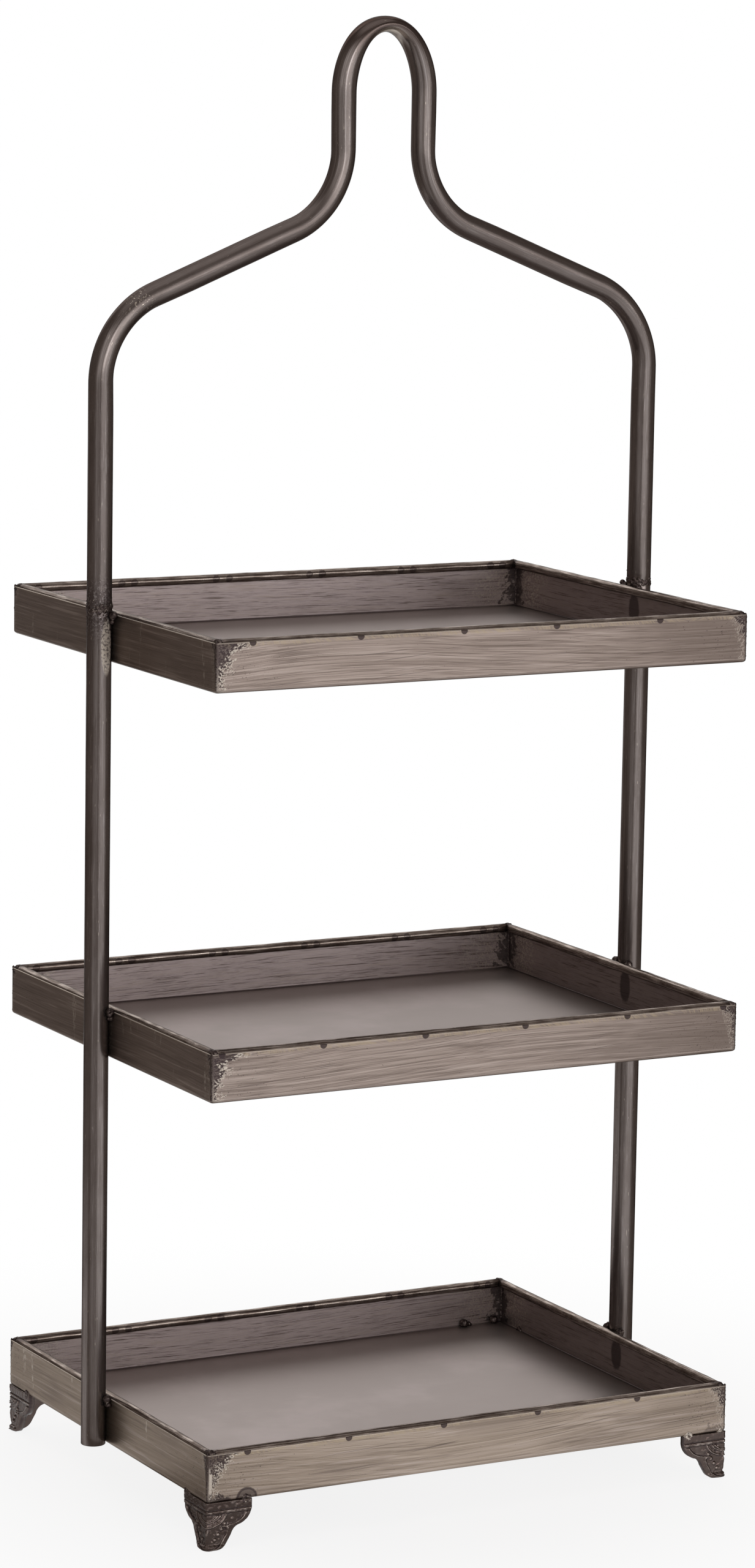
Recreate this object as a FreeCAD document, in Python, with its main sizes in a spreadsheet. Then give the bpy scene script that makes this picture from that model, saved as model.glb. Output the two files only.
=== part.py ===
import FreeCAD, Part
import math
import os

import Sketcher
from FreeCAD import Placement, Rotation, Vector

# A welded three-tier tray stand: tube posts, folded trays, a tube arch with a carrying loop and cast feet.
# The origin is on the floor under the middle of the trays, with +X to the right, +Y to the back and +Z up.

# Driving dimensions in millimetres and degrees: alias, value, meaning
DIMENSIONS = (
    ("stand_height", 947, "floor to the top of the carrying loop"),
    ("tray_width", 380, "tray outside, left to right"),
    ("tray_depth", 300, "tray outside, front to back"),
    ("tray_pitch", 255, "middle tray up to the top one; the bay below takes the rest of the height"),
    ("wall_height", 31, "tray wall outside, without the rim rod"),
    ("sheet_thickness", 1, "tray sheet metal"),
    ("bend_radius", 1, "inside radius of the fold between floor and wall"),
    ("seam_groove", 0.8, "open groove up each tray corner, filled by the seam weld"),
    ("rod_diameter", 6, "rim rod"),
    ("rod_rise", 2, "rim rod's top above the edge of the sheet"),
    ("tube_diameter", 16, "posts and arch, outside"),
    ("tube_wall", 1.2, "posts and arch, wall"),
    ("joint_lift", 2, "joint of arch and post above the top tray's rim"),
    ("leg_length", 141.25, "arch's straight legs above the joint"),
    ("run_angle", 22, "slope of the arch's straight runs"),
    ("shoulder_radius", 60, "bend from post to sloping run, on the tube's axis"),
    ("neck_radius", 56, "bend from sloping run to neck, on the tube's axis"),
    ("neck_drop", 84, "loop's centre down to where neck and run would meet"),
    ("loop_radius", 29, "carrying loop, on the tube's axis"),
    ("foot_height", 31, "floor to the underside of the bottom tray"),
    ("leaf_length", 32, "foot leaf along the tray wall"),
    ("leaf_thickness", 4, "foot leaf"),
    ("leaf_end_height", 5.5, "square end of a leaf below the tray"),
    ("toe_length", 8, "flat of the foot along each leaf"),
    ("toe_side_length", 14, "corner to where the toe's rounding ends"),
    ("toe_side_height", 3.6, "floor to where the toe's rounding ends"),
    ("toe_radius", 9, "rounding of the toe"),
    ("waist_length", 17.5, "corner to where the hollow of the waist begins"),
    ("waist_height", 9.5, "floor to where the hollow of the waist begins"),
    ("waist_radius", 8, "hollow of the waist"),
    ("ear_length", 22.5, "corner to where the leaf's ear begins"),
    ("ear_height", 15, "floor to where the leaf's ear begins"),
    ("ear_radius", 12, "rounding of the leaf's ear"),
    ("lip_flare", 1.5, "toe's lip standing out past the tray walls"),
    ("lip_height", 3.5, "toe's lip"),
    ("bead_radius", 3, "weld beads beside the posts and inside the bottom tray"),
    ("bead_sink", 0.7, "depth a bead has melted into what it joins"),
    ("tack_radius", 3.2, "rounding of the tack welds that hold the feet"),
    ("tack_rise", 1.8, "tack weld's crown above the wall and the leaf"),
    ("tack_inset", 4, "tack weld's centre in from the end of a leaf"),
    ("inner_tack_inset", 8, "inside bead at the back right, in from the tray's side"),
    ("ring_height", 7, "ring weld around the tube joint"),
    ("ring_rise", 0.8, "ring weld's crown above the tube"),
)

doc = FreeCAD.newDocument("display_stand")
sheet = doc.addObject("Spreadsheet::Sheet", "Sizes")
for row, (alias, number, meaning) in enumerate(DIMENSIONS, start=1):
    sheet.set(f"A{row}", meaning)
    sheet.set(f"B{row}", str(number))
    sheet.setAlias(f"B{row}", alias)
doc.recompute()

# Lengths that follow from the sheet
HALF_WIDTH = "(Sizes.tray_width / 2)"
HALF_DEPTH = "(Sizes.tray_depth / 2)"
TUBE_RADIUS = "(Sizes.tube_diameter / 2)"
ROD_RADIUS = "(Sizes.rod_diameter / 2)"
POST_X = f"({HALF_WIDTH} + {TUBE_RADIUS})"
RIM_HEIGHT = "(Sizes.wall_height + Sizes.rod_rise)"
OUTER_BEND = "(Sizes.bend_radius + Sizes.sheet_thickness)"
BEAD_OFF = "(Sizes.bead_radius - Sizes.bead_sink)"
TACK_DEPTH = "(Sizes.tack_radius - Sizes.tack_rise)"

# Heights along the arch's axis above its joint with the posts
BEND_SETBACK = "tan((90 - Sizes.run_angle) / 2)"
SHOULDER_RISE = f"(Sizes.leg_length + Sizes.shoulder_radius * {BEND_SETBACK})"
NECK_RISE = f"({SHOULDER_RISE} + ({POST_X} - Sizes.loop_radius) * tan(Sizes.run_angle))"
LOOP_RISE = f"({NECK_RISE} + Sizes.neck_drop)"
JOINT_Z = f"(Sizes.stand_height - {TUBE_RADIUS} - Sizes.loop_radius - {LOOP_RISE})"

# Height of each tray's underside
TOP_Z = f"({JOINT_Z} - Sizes.joint_lift - {RIM_HEIGHT})"
TIERS = {"top": TOP_Z, "middle": f"({TOP_Z} - Sizes.tray_pitch)", "bottom": "Sizes.foot_height"}

SIDES = {"left": -1, "right": 1}
QUARTER_TURN = 90
TOLERANCE = 1e-6

# Corners of the trays in the order of quarter turns from the front left: name, side in X, side in Y
CORNERS = (("front_left", -1, -1), ("front_right", 1, -1), ("back_right", 1, 1), ("back_left", -1, 1))

nodes = []


def value(expression):
    """Number that an expression on the sheet has now."""
    return float(sheet.evalExpression(expression))


def finish(item, label):
    """Name a sub-part and keep it for writing."""
    item.Label = label
    nodes.append(item)
    return item


def move(item, x="0", y="0", z="0", turn=0):
    """Turn an object about Z and place it by expressions."""
    item.Placement = Placement(Vector(), Rotation(Vector(0, 0, 1), turn))
    for axis, expression in zip("xyz", (x, y, z)):
        item.setExpression(f"Placement.Base.{axis}", expression)


def new_sketch(body, role, name, lift=None):
    """Sketch on one of the body's own origin planes, lifted along the plane's normal."""
    sketch = body.newObject("Sketcher::SketchObject", name)
    plane = next(item for item in body.Origin.OriginFeatures if item.Role == role)
    sketch.AttachmentSupport = [(plane, "")]
    sketch.MapMode = "FlatFace"
    if lift:
        sketch.setExpression("AttachmentOffset.Base.z", lift)
    return sketch


def dimension(sketch, kind, *places, to):
    """Dimension in a sketch, bound to an expression."""
    index = sketch.addConstraint(Sketcher.Constraint(kind, *places, value(to)))
    sketch.setExpression(f"Constraints[{index}]", to)


def pin_point(sketch, geometry, end, x, y):
    """Hold one point of a sketch at a place given by expressions."""
    for kind, place in (("DistanceX", x), ("DistanceY", y)):
        dimension(sketch, kind, -1, 1, geometry, end, to=place)


def arc_between(begin, end, radius, way):
    """Arc from one point to another that turns left where way is 1 and right where it is -1."""
    chord = end - begin
    to_left = Vector(-chord.y, chord.x, 0).normalize()
    centre = (begin + end) / 2 + to_left * way * math.sqrt(radius**2 - chord.Length**2 / 4)
    angles = [math.atan2(point.y - centre.y, point.x - centre.x) for point in (begin, end)]
    if way < 0:
        angles.reverse()
    return Part.ArcOfCircle(Part.Circle(centre, Vector(0, 0, 1), radius), *angles)


def add_chain(sketch, points, arcs=None, closed=True):
    """Lines through points given by expressions; arcs gives the radius and way of each round stretch."""
    arcs = arcs or {}
    at = [Vector(value(x), value(y), 0) for x, y in points]
    last = len(points) if closed else len(points) - 1
    pieces = []
    for index in range(last):
        begin, end = at[index], at[(index + 1) % len(points)]
        ends = (1, 2)
        curve = Part.LineSegment(begin, end)
        if index in arcs:
            radius, way = arcs[index]
            curve = arc_between(begin, end, value(radius), way)
            ends = (1, 2) if way > 0 else (2, 1)
        pieces.append((sketch.addGeometry(curve), *ends))
    links = list(zip(pieces, pieces[1:]))
    if closed:
        links.append((pieces[-1], pieces[0]))
    for (before, _, tail), (after, head, _) in links:
        sketch.addConstraint(Sketcher.Constraint("Coincident", before, tail, after, head))
    for (geometry, head, _), (x, y) in zip(pieces, points):
        pin_point(sketch, geometry, head, x, y)
    if not closed:
        pin_point(sketch, pieces[-1][0], pieces[-1][2], *points[-1])
    for index, (radius, _) in arcs.items():
        dimension(sketch, "Radius", pieces[index][0], to=radius)


def add_circle(sketch, radius, x="0", y="0"):
    """Circle whose radius and centre are expressions."""
    centre = Vector(value(x), value(y), 0)
    index = sketch.addGeometry(Part.Circle(centre, Vector(0, 0, 1), value(radius)))
    dimension(sketch, "Radius", index, to=radius)
    pin_point(sketch, index, 3, x, y)


def add_tube_section(sketch, x="0"):
    """Ring section of the tube."""
    add_circle(sketch, TUBE_RADIUS, x)
    add_circle(sketch, f"{TUBE_RADIUS} - Sizes.tube_wall", x)


def rectangle(half_x, half_y):
    """Corner points of a rectangle about the origin."""
    return [(f"-{half_x}", f"-{half_y}"), (half_x, f"-{half_y}"), (half_x, half_y), (f"-{half_x}", half_y)]


def add_feature(body, kind, name, sketch, length, back=False, both_ways=False):
    """Pad or pocket of a sketch."""
    feature = body.newObject(f"PartDesign::{kind}", name)
    feature.Profile = sketch
    feature.Reversed = back
    if both_ways:
        feature.SideType = "Symmetric"
    feature.setExpression("Length", length)
    doc.recompute()
    return feature


def round_level_edges(body, base, height, radius):
    """Fillet the edges of a feature that lie level at a height."""
    names = []
    for index, edge in enumerate(base.Shape.Edges, start=1):
        if all(abs(vertex.Z - height) < TOLERANCE for vertex in edge.Vertexes):
            names.append(f"Edge{index}")
    fillet = body.newObject("PartDesign::Fillet", f"{base.Name}_round")
    fillet.Base = (base, names)
    fillet.setExpression("Radius", radius)
    doc.recompute()


def make_pan(tier):
    """Folded tray: a floor and four walls of one sheet, with an open groove up each corner."""
    name = f"{tier}_pan"
    body = doc.addObject("PartDesign::Body", name)
    outside = new_sketch(body, "XY_Plane", f"{name}_outside")
    add_chain(outside, rectangle(HALF_WIDTH, HALF_DEPTH))
    block = add_feature(body, "Pad", f"{name}_block", outside, "Sizes.wall_height")
    round_level_edges(body, block, 0, OUTER_BEND)
    inside = new_sketch(body, "XY_Plane", f"{name}_inside", "Sizes.wall_height")
    inner_x = f"({HALF_WIDTH} - Sizes.sheet_thickness)"
    inner_y = f"({HALF_DEPTH} - Sizes.sheet_thickness)"
    add_chain(inside, rectangle(inner_x, inner_y))
    depth = "Sizes.wall_height - Sizes.sheet_thickness"
    hollow = add_feature(body, "Pocket", f"{name}_hollow", inside, depth)
    round_level_edges(body, hollow, value("Sizes.sheet_thickness"), "Sizes.bend_radius")
    seams = new_sketch(body, "XY_Plane", f"{name}_seams", OUTER_BEND)
    for _, side_x, side_y in CORNERS:
        far_x, far_y = f"{side_x} * {HALF_WIDTH}", f"{side_y} * {HALF_DEPTH}"
        near_x = f"{side_x} * ({HALF_WIDTH} - Sizes.seam_groove)"
        near_y = f"{side_y} * ({HALF_DEPTH} - Sizes.seam_groove)"
        add_chain(seams, [(near_x, near_y), (far_x, near_y), (far_x, far_y), (near_x, far_y)])
    add_feature(body, "Pocket", f"{name}_grooves", seams, "Sizes.wall_height", back=True)
    move(body, z=TIERS[tier])
    return finish(body, name)


def make_rod(tier, side, length, turn, x, y):
    """Rim rod with mitred ends, drawn as the front rod and turned to its own side."""
    name = f"{tier}_{side}_rod"
    body = doc.addObject("PartDesign::Body", name)
    section = new_sketch(body, "YZ_Plane", f"{name}_section")
    add_circle(section, ROD_RADIUS)
    add_feature(body, "Pad", f"{name}_bar", section, length, both_ways=True)
    mitres = new_sketch(body, "XY_Plane", f"{name}_mitres")
    for end in (-1, 1):
        outer = f"{end} * ({length} / 2 + {ROD_RADIUS})"
        inner = f"{end} * ({length} / 2 - 3 * {ROD_RADIUS})"
        below, above = "-Sizes.rod_diameter", "Sizes.rod_diameter"
        add_chain(mitres, [(outer, below), (outer, above), (inner, above)])
    add_feature(body, "Pocket", f"{name}_cuts", mitres, "2 * Sizes.rod_diameter", both_ways=True)
    move(body, x, y, f"{TIERS[tier]} + {RIM_HEIGHT} - {ROD_RADIUS}", turn)
    return finish(body, name)


def make_rim(tier):
    """Four rim rods inside the top of the tray's walls."""
    along_x = "(Sizes.tray_width - 2 * Sizes.sheet_thickness)"
    along_y = "(Sizes.tray_depth - 2 * Sizes.sheet_thickness)"
    out_x = f"({HALF_WIDTH} - Sizes.sheet_thickness - {ROD_RADIUS})"
    out_y = f"({HALF_DEPTH} - Sizes.sheet_thickness - {ROD_RADIUS})"
    make_rod(tier, "front", along_x, 0, "0", f"-{out_y}")
    make_rod(tier, "right", along_y, QUARTER_TURN, out_x, "0")
    make_rod(tier, "back", along_x, 2 * QUARTER_TURN, "0", out_y)
    make_rod(tier, "left", along_y, 3 * QUARTER_TURN, f"-{out_x}", "0")


def make_corner_welds(tier):
    """Seam welds that fill the corner grooves, each a quarter round."""
    seams = []
    for corner, (name, side_x, side_y) in enumerate(CORNERS):
        seam = doc.addObject("Part::Cylinder", f"{tier}_{name}_seam")
        seam.Angle = QUARTER_TURN
        seam.setExpression("Radius", "Sizes.seam_groove")
        seam.setExpression("Height", f"Sizes.wall_height - {OUTER_BEND}")
        x = f"{side_x} * ({HALF_WIDTH} - Sizes.seam_groove)"
        y = f"{side_y} * ({HALF_DEPTH} - Sizes.seam_groove)"
        move(seam, x, y, f"{TIERS[tier]} + {OUTER_BEND}", (corner + 2) * QUARTER_TURN)
        seams.append(seam)
    return finish(gather(f"{tier}_corner_welds", seams), f"{tier}_corner_welds")


def gather(name, items):
    """Several solids in one group."""
    group = doc.addObject("Part::Compound", name)
    group.Links = items
    return group


def cut_away(name, base, tools):
    """Base with the space of its neighbours cut out of it."""
    for index, tool in enumerate(tools):
        cut = doc.addObject("Part::Cut", f"{name}_cut_{index}")
        cut.Base = base
        cut.Tool = tool
        base = cut
    return base


def make_bead(name, radius, x, y, z):
    """Round weld bead."""
    bead = doc.addObject("Part::Sphere", name)
    bead.setExpression("Radius", radius)
    move(bead, x, y, z)
    return bead


def make_post(side):
    """Straight tube from the bottom tray's underside up to the arch."""
    name = f"{side}_post"
    body = doc.addObject("PartDesign::Body", name)
    section = new_sketch(body, "XY_Plane", f"{name}_section")
    add_tube_section(section)
    add_feature(body, "Pad", f"{name}_tube", section, f"{JOINT_Z} - Sizes.foot_height")
    move(body, f"{SIDES[side]} * {POST_X}", z="Sizes.foot_height")
    return finish(body, name)


def arch_points():
    """Ends of the arch's straight stretches, from the right joint at zero height to the loop's top."""
    along_x, along_y = "cos(Sizes.run_angle)", "sin(Sizes.run_angle)"
    shoulder = f"Sizes.shoulder_radius * {BEND_SETBACK}"
    neck = f"Sizes.neck_radius * {BEND_SETBACK}"
    return [
        (POST_X, "0"),
        (POST_X, "Sizes.leg_length"),
        (f"({POST_X} - {shoulder} * {along_x})", f"{SHOULDER_RISE} + {shoulder} * {along_y}"),
        (f"(Sizes.loop_radius + {neck} * {along_x})", f"{NECK_RISE} - {neck} * {along_y}"),
        ("Sizes.loop_radius", f"{NECK_RISE} + {neck}"),
        ("Sizes.loop_radius", LOOP_RISE),
        ("0", f"{LOOP_RISE} + Sizes.loop_radius"),
    ]


def make_arch():
    """Bent tube over the top tray: two legs, shoulders, sloping runs, a neck and the carrying loop."""
    body = doc.addObject("PartDesign::Body", "handle_arch")
    path = new_sketch(body, "XZ_Plane", "handle_arch_path")
    right_half = arch_points()
    left_half = [(f"-{x}", y) for x, y in right_half[:-1]]
    bends = {
        1: ("Sizes.shoulder_radius", -1),
        3: ("Sizes.neck_radius", 1),
        5: ("Sizes.loop_radius", -1),
        6: ("Sizes.loop_radius", -1),
        8: ("Sizes.neck_radius", 1),
        10: ("Sizes.shoulder_radius", -1),
    }
    add_chain(path, left_half + right_half[::-1], bends, closed=False)
    section = new_sketch(body, "XY_Plane", "handle_arch_section")
    add_tube_section(section, f"-{POST_X}")
    doc.recompute()
    pipe = body.newObject("PartDesign::AdditivePipe", "handle_arch_tube")
    pipe.Profile = section
    pipe.Spine = path
    doc.recompute()
    move(body, z=JOINT_Z)
    return finish(body, "handle_arch")


def make_joint_weld(side):
    """Ring weld around the butt joint of arch and post."""
    name = f"{side}_joint_weld"
    body = doc.addObject("PartDesign::Body", name)
    section = new_sketch(body, "XZ_Plane", f"{name}_section")
    crown = "(Sizes.ring_height ^ 2 / 4 + Sizes.ring_rise ^ 2) / (2 * Sizes.ring_rise)"
    low, high = (TUBE_RADIUS, "-Sizes.ring_height / 2"), (TUBE_RADIUS, "Sizes.ring_height / 2")
    add_chain(section, [low, high], {0: (crown, 1)})
    ring = body.newObject("PartDesign::Revolution", f"{name}_ring")
    ring.Profile = section
    ring.ReferenceAxis = (section, ["V_Axis"])
    doc.recompute()
    move(body, f"{SIDES[side]} * {POST_X}", z=JOINT_Z)
    return finish(body, name)


def make_post_welds(tier, pan, posts, rings):
    """Beads at rim height in the corners between posts and tray walls."""
    reach = f"sqrt(({TUBE_RADIUS} + {BEAD_OFF}) ^ 2 - ({TUBE_RADIUS} - {BEAD_OFF}) ^ 2)"
    beads = []
    for side, end, way in (("left", "front", -1), ("right", "front", -1), ("right", "back", 1)):
        name = f"{tier}_{side}_{end}_bead"
        x = f"{SIDES[side]} * ({HALF_WIDTH} + {BEAD_OFF})"
        z = f"{TIERS[tier]} + Sizes.wall_height"
        bead = make_bead(name, "Sizes.bead_radius", x, f"{way} * {reach}", z)
        neighbours = [pan, posts[side]]
        if tier == "top":
            neighbours.append(rings[side])
        beads.append(cut_away(name, bead, neighbours))
    return finish(gather(f"{tier}_post_welds", beads), f"{tier}_post_welds")


def leaf_outline():
    """Outline of a foot leaf from the corner along the floor, up its curved end and back under the tray."""
    leaf_end = "Sizes.foot_height - Sizes.leaf_end_height"
    points = [
        ("0", "0"),
        ("Sizes.toe_length", "0"),
        ("Sizes.toe_side_length", "Sizes.toe_side_height"),
        ("Sizes.waist_length", "Sizes.waist_height"),
        ("Sizes.ear_length", "Sizes.ear_height"),
        ("Sizes.leaf_length", leaf_end),
        ("Sizes.leaf_length", "Sizes.foot_height"),
        ("0", "Sizes.foot_height"),
    ]
    arcs = {1: ("Sizes.toe_radius", 1), 3: ("Sizes.waist_radius", -1), 4: ("Sizes.ear_radius", 1)}
    return points, arcs


def make_foot(corner):
    """Cast corner foot of two leaves and a toe lip, drawn for the front left corner and turned to its own."""
    place, side_x, side_y = CORNERS[corner]
    name = f"{place}_foot"
    body = doc.addObject("PartDesign::Body", name)
    for role, back in (("XZ_Plane", True), ("YZ_Plane", False)):
        leaf = new_sketch(body, role, f"{name}_{role[:2]}_leaf")
        add_chain(leaf, *leaf_outline())
        add_feature(body, "Pad", f"{name}_{role[:2]}_pad", leaf, "Sizes.leaf_thickness", back=back)
    lip = new_sketch(body, "XY_Plane", f"{name}_lip")
    out, inner, long = "-Sizes.lip_flare", "Sizes.leaf_thickness", "Sizes.toe_length"
    add_chain(lip, [(out, out), (long, out), (long, inner), (inner, inner), (inner, long), (out, long)])
    add_feature(body, "Pad", f"{name}_lip_pad", lip, "Sizes.lip_height")
    move(body, f"{side_x} * {HALF_WIDTH}", f"{side_y} * {HALF_DEPTH}", turn=corner * QUARTER_TURN)
    return finish(body, name)


def make_base_block():
    """Filled outline of the bottom tray and its feet, down to the floor."""
    block = doc.addObject("Part::Box", "base_block")
    block.setExpression("Length", "Sizes.tray_width")
    block.setExpression("Width", "Sizes.tray_depth")
    block.setExpression("Height", "Sizes.foot_height + Sizes.wall_height")
    move(block, f"-{HALF_WIDTH}", f"-{HALF_DEPTH}")
    return block


def make_foot_welds(pan):
    """Tack welds at the ends of every leaf, and two beads inside the tray over the back right foot."""
    welds = []
    block = make_base_block()
    end_x, end_y = [f"({half} - Sizes.leaf_length + Sizes.tack_inset)" for half in (HALF_WIDTH, HALF_DEPTH)]
    face_x, face_y = [f"({half} - {TACK_DEPTH})" for half in (HALF_WIDTH, HALF_DEPTH)]
    for place, side_x, side_y in CORNERS:
        for leaf, x, y in (("x", end_x, face_y), ("y", face_x, end_y)):
            name = f"{place}_{leaf}_tack"
            spot = (f"{side_x} * {x}", f"{side_y} * {y}", "Sizes.foot_height")
            tack = make_bead(name, "Sizes.tack_radius", *spot)
            welds.append(cut_away(name, tack, (block,)))
    floor = f"Sizes.foot_height + Sizes.sheet_thickness + {BEAD_OFF}"
    wall = f"{HALF_DEPTH} - Sizes.sheet_thickness - {BEAD_OFF}"
    for name, inset in (("inner", "Sizes.inner_tack_inset"), ("outer", "Sizes.leaf_length")):
        bead = make_bead(f"{name}_bead", "Sizes.bead_radius", f"{HALF_WIDTH} - {inset}", wall, floor)
        welds.append(cut_away(f"{name}_bead", bead, (pan,)))
    return finish(gather("foot_welds", welds), "foot_welds")


def check():
    """Stop if any object failed or any sub-part is not sound."""
    for item in doc.Objects:
        if "Invalid" in item.State or "Error" in item.State:
            raise RuntimeError(f"{item.Label} failed: {item.State}")
    for item in nodes:
        if item.Shape.isNull() or not item.Shape.isValid() or not item.Shape.Solids:
            raise RuntimeError(f"{item.Label} has no sound solid")


def main():
    posts = {side: make_post(side) for side in SIDES}
    make_arch()
    rings = {side: make_joint_weld(side) for side in SIDES}
    pans = {}
    for tier in TIERS:
        pans[tier] = make_pan(tier)
        make_rim(tier)
        make_corner_welds(tier)
        make_post_welds(tier, pans[tier], posts, rings)
    for corner in range(len(CORNERS)):
        make_foot(corner)
    make_foot_welds(pans["bottom"])
    doc.recompute()
    check()
    os.makedirs("parts", exist_ok=True)
    for item in nodes:
        item.Shape.exportStep(f"parts/{item.Label}.step")
        print(f"{item.Label}: {len(item.Shape.Solids)} solid, {item.Shape.Volume / 1000:.2f} cm3")


main()
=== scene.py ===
import math
import random
from typing import NamedTuple

import bmesh
import bpy
import numpy as np
from bpy.props import FloatProperty, FloatVectorProperty, PointerProperty
from bpy.types import Operator, Panel, PropertyGroup
from mathutils import Matrix, Vector, noise


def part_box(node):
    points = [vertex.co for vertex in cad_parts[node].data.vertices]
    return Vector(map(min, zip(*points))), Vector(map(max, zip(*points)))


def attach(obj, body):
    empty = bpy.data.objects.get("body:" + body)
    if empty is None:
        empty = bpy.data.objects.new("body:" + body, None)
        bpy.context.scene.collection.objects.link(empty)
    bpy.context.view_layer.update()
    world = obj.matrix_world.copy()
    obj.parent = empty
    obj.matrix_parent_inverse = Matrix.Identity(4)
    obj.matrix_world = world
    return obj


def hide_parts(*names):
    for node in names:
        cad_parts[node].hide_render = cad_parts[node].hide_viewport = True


bl_info = {
    "name": "Tray Stand Dresser",
    "version": (1, 0, 0),
    "blender": (4, 5, 0),
    "location": "View3D > Sidebar > Tray Stand",
    "description": "Builds the finished pieces of a welded three-tier tray stand around its CAD frame",
    "category": "Add Mesh",
}

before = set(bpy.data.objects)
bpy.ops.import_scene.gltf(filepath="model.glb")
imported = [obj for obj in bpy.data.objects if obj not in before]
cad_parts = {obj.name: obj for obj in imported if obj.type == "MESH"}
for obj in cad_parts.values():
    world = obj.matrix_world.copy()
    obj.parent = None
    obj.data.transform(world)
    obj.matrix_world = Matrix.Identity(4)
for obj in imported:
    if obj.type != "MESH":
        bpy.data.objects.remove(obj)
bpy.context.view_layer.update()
BODY = "root"
MM = 0.001

TIERS = ("bottom", "middle", "top")
SIDES = {"left": -1, "right": 1}

# Corners of the trays in the order of quarter turns from the front left: name, side in X, side in Y
CORNERS = (("front_left", -1, -1), ("front_right", 1, -1), ("back_right", 1, 1), ("back_left", -1, 1))


def span(node):
    """Lowest corner of a CAD node and its size."""
    low, high = (Vector(corner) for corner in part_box(node))
    return low, high - low


# Sizes and places that the frame already holds, in metres
PAN_LOW, PAN_SIZE = span("bottom_pan")
POST_LOW, POST_SIZE = span("right_post")
ARCH_LOW, ARCH_SIZE = span("handle_arch")
HALF_WIDTH = PAN_SIZE.x / 2
HALF_DEPTH = PAN_SIZE.y / 2
WALL_HEIGHT = PAN_SIZE.z
FLOOR_LEVEL = {tier: span(f"{tier}_pan")[0].z for tier in TIERS}
TIER_PITCH = FLOOR_LEVEL["middle"] - FLOOR_LEVEL["bottom"]
ROD_LOW, ROD_SIZE = span("bottom_front_rod")
ROD_LIFT = ROD_LOW.z + ROD_SIZE.z / 2 - PAN_LOW.z
POST_X = POST_LOW.x + POST_SIZE.x / 2
POST_FOOT = POST_LOW.z
JOINT_Z = ARCH_LOW.z
STAND_TOP = ARCH_LOW.z + ARCH_SIZE.z
RING_SIZE = span("left_joint_weld")[1]
FOOT_HEIGHT = PAN_LOW.z


def length(name, description, default):
    """Length property in metres."""
    return FloatProperty(name=name, description=description, default=default, min=0.0, unit="LENGTH")


def share(name, description, default):
    """Share of a whole, from 0 to 1."""
    return FloatProperty(
        name=name, description=description, default=default, min=0.0, max=1.0, subtype="FACTOR"
    )


def tint(name, description, default):
    """Colour property."""
    return FloatVectorProperty(
        name=name, description=description, default=default, size=3, min=0.0, max=1.0, subtype="COLOR"
    )


class StandSizes(PropertyGroup):
    """Sizes of the finished pieces; places come from the frame."""

    tube_diameter: length("Tube diameter", "Posts and arch, outside", POST_SIZE.x)
    tube_wall: length("Tube wall", "Thickness of the tube", 1.2 * MM)
    bend_flattening: share("Bend flattening", "Share of its width that the tube loses in a bend", 0.04)
    crown_flattening: share(
        "Crown flattening", "Share of its width that the tube loses over the loop", 0.36
    )
    shoulder_radius: length("Shoulder radius", "Bend from leg to sloping run, on the tube's axis", 60 * MM)
    neck_radius: length("Neck radius", "Bend from sloping run to neck, on the tube's axis", 56 * MM)
    neck_drop: length("Neck drop", "Loop's centre down to where neck and run would meet", 84 * MM)
    loop_radius: length("Loop radius", "Half the carrying loop's width, on the tube's axis", 29 * MM)
    loop_rise: length("Loop rise", "Height of the loop's curve above its straight sides", 41 * MM)
    run_angle: FloatProperty(
        name="Run angle", description="Slope of the arch's runs", default=math.radians(22), subtype="ANGLE"
    )
    sheet_thickness: length("Sheet thickness", "Tray sheet metal", 1 * MM)
    fold_radius: length("Fold radius", "Outside of the fold between floor and wall", 2 * MM)
    corner_radius: length("Corner radius", "Outside of the trays' upright corners", 1.6 * MM)
    sheet_wave: length("Sheet wave", "How far a wall wanders from flat", 0.35 * MM)
    rod_diameter: length("Rod diameter", "Rim rods", ROD_SIZE.z)
    rod_wave: length("Rod wave", "How far a rim rod wanders from straight", 0.25 * MM)
    leaf_thickness: length("Leaf thickness", "Leaves of the cast feet", 4 * MM)
    relief_depth: length("Relief depth", "Cast relief on the feet", 1.0 * MM)
    lip_flare: length("Lip flare", "Toe's lip standing out past the tray walls", 1.5 * MM)
    bead_radius: length("Bead radius", "Weld beads", 3 * MM)
    weld_grain: length("Weld grain", "Roughness of the weld metal", 0.22 * MM)


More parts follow.
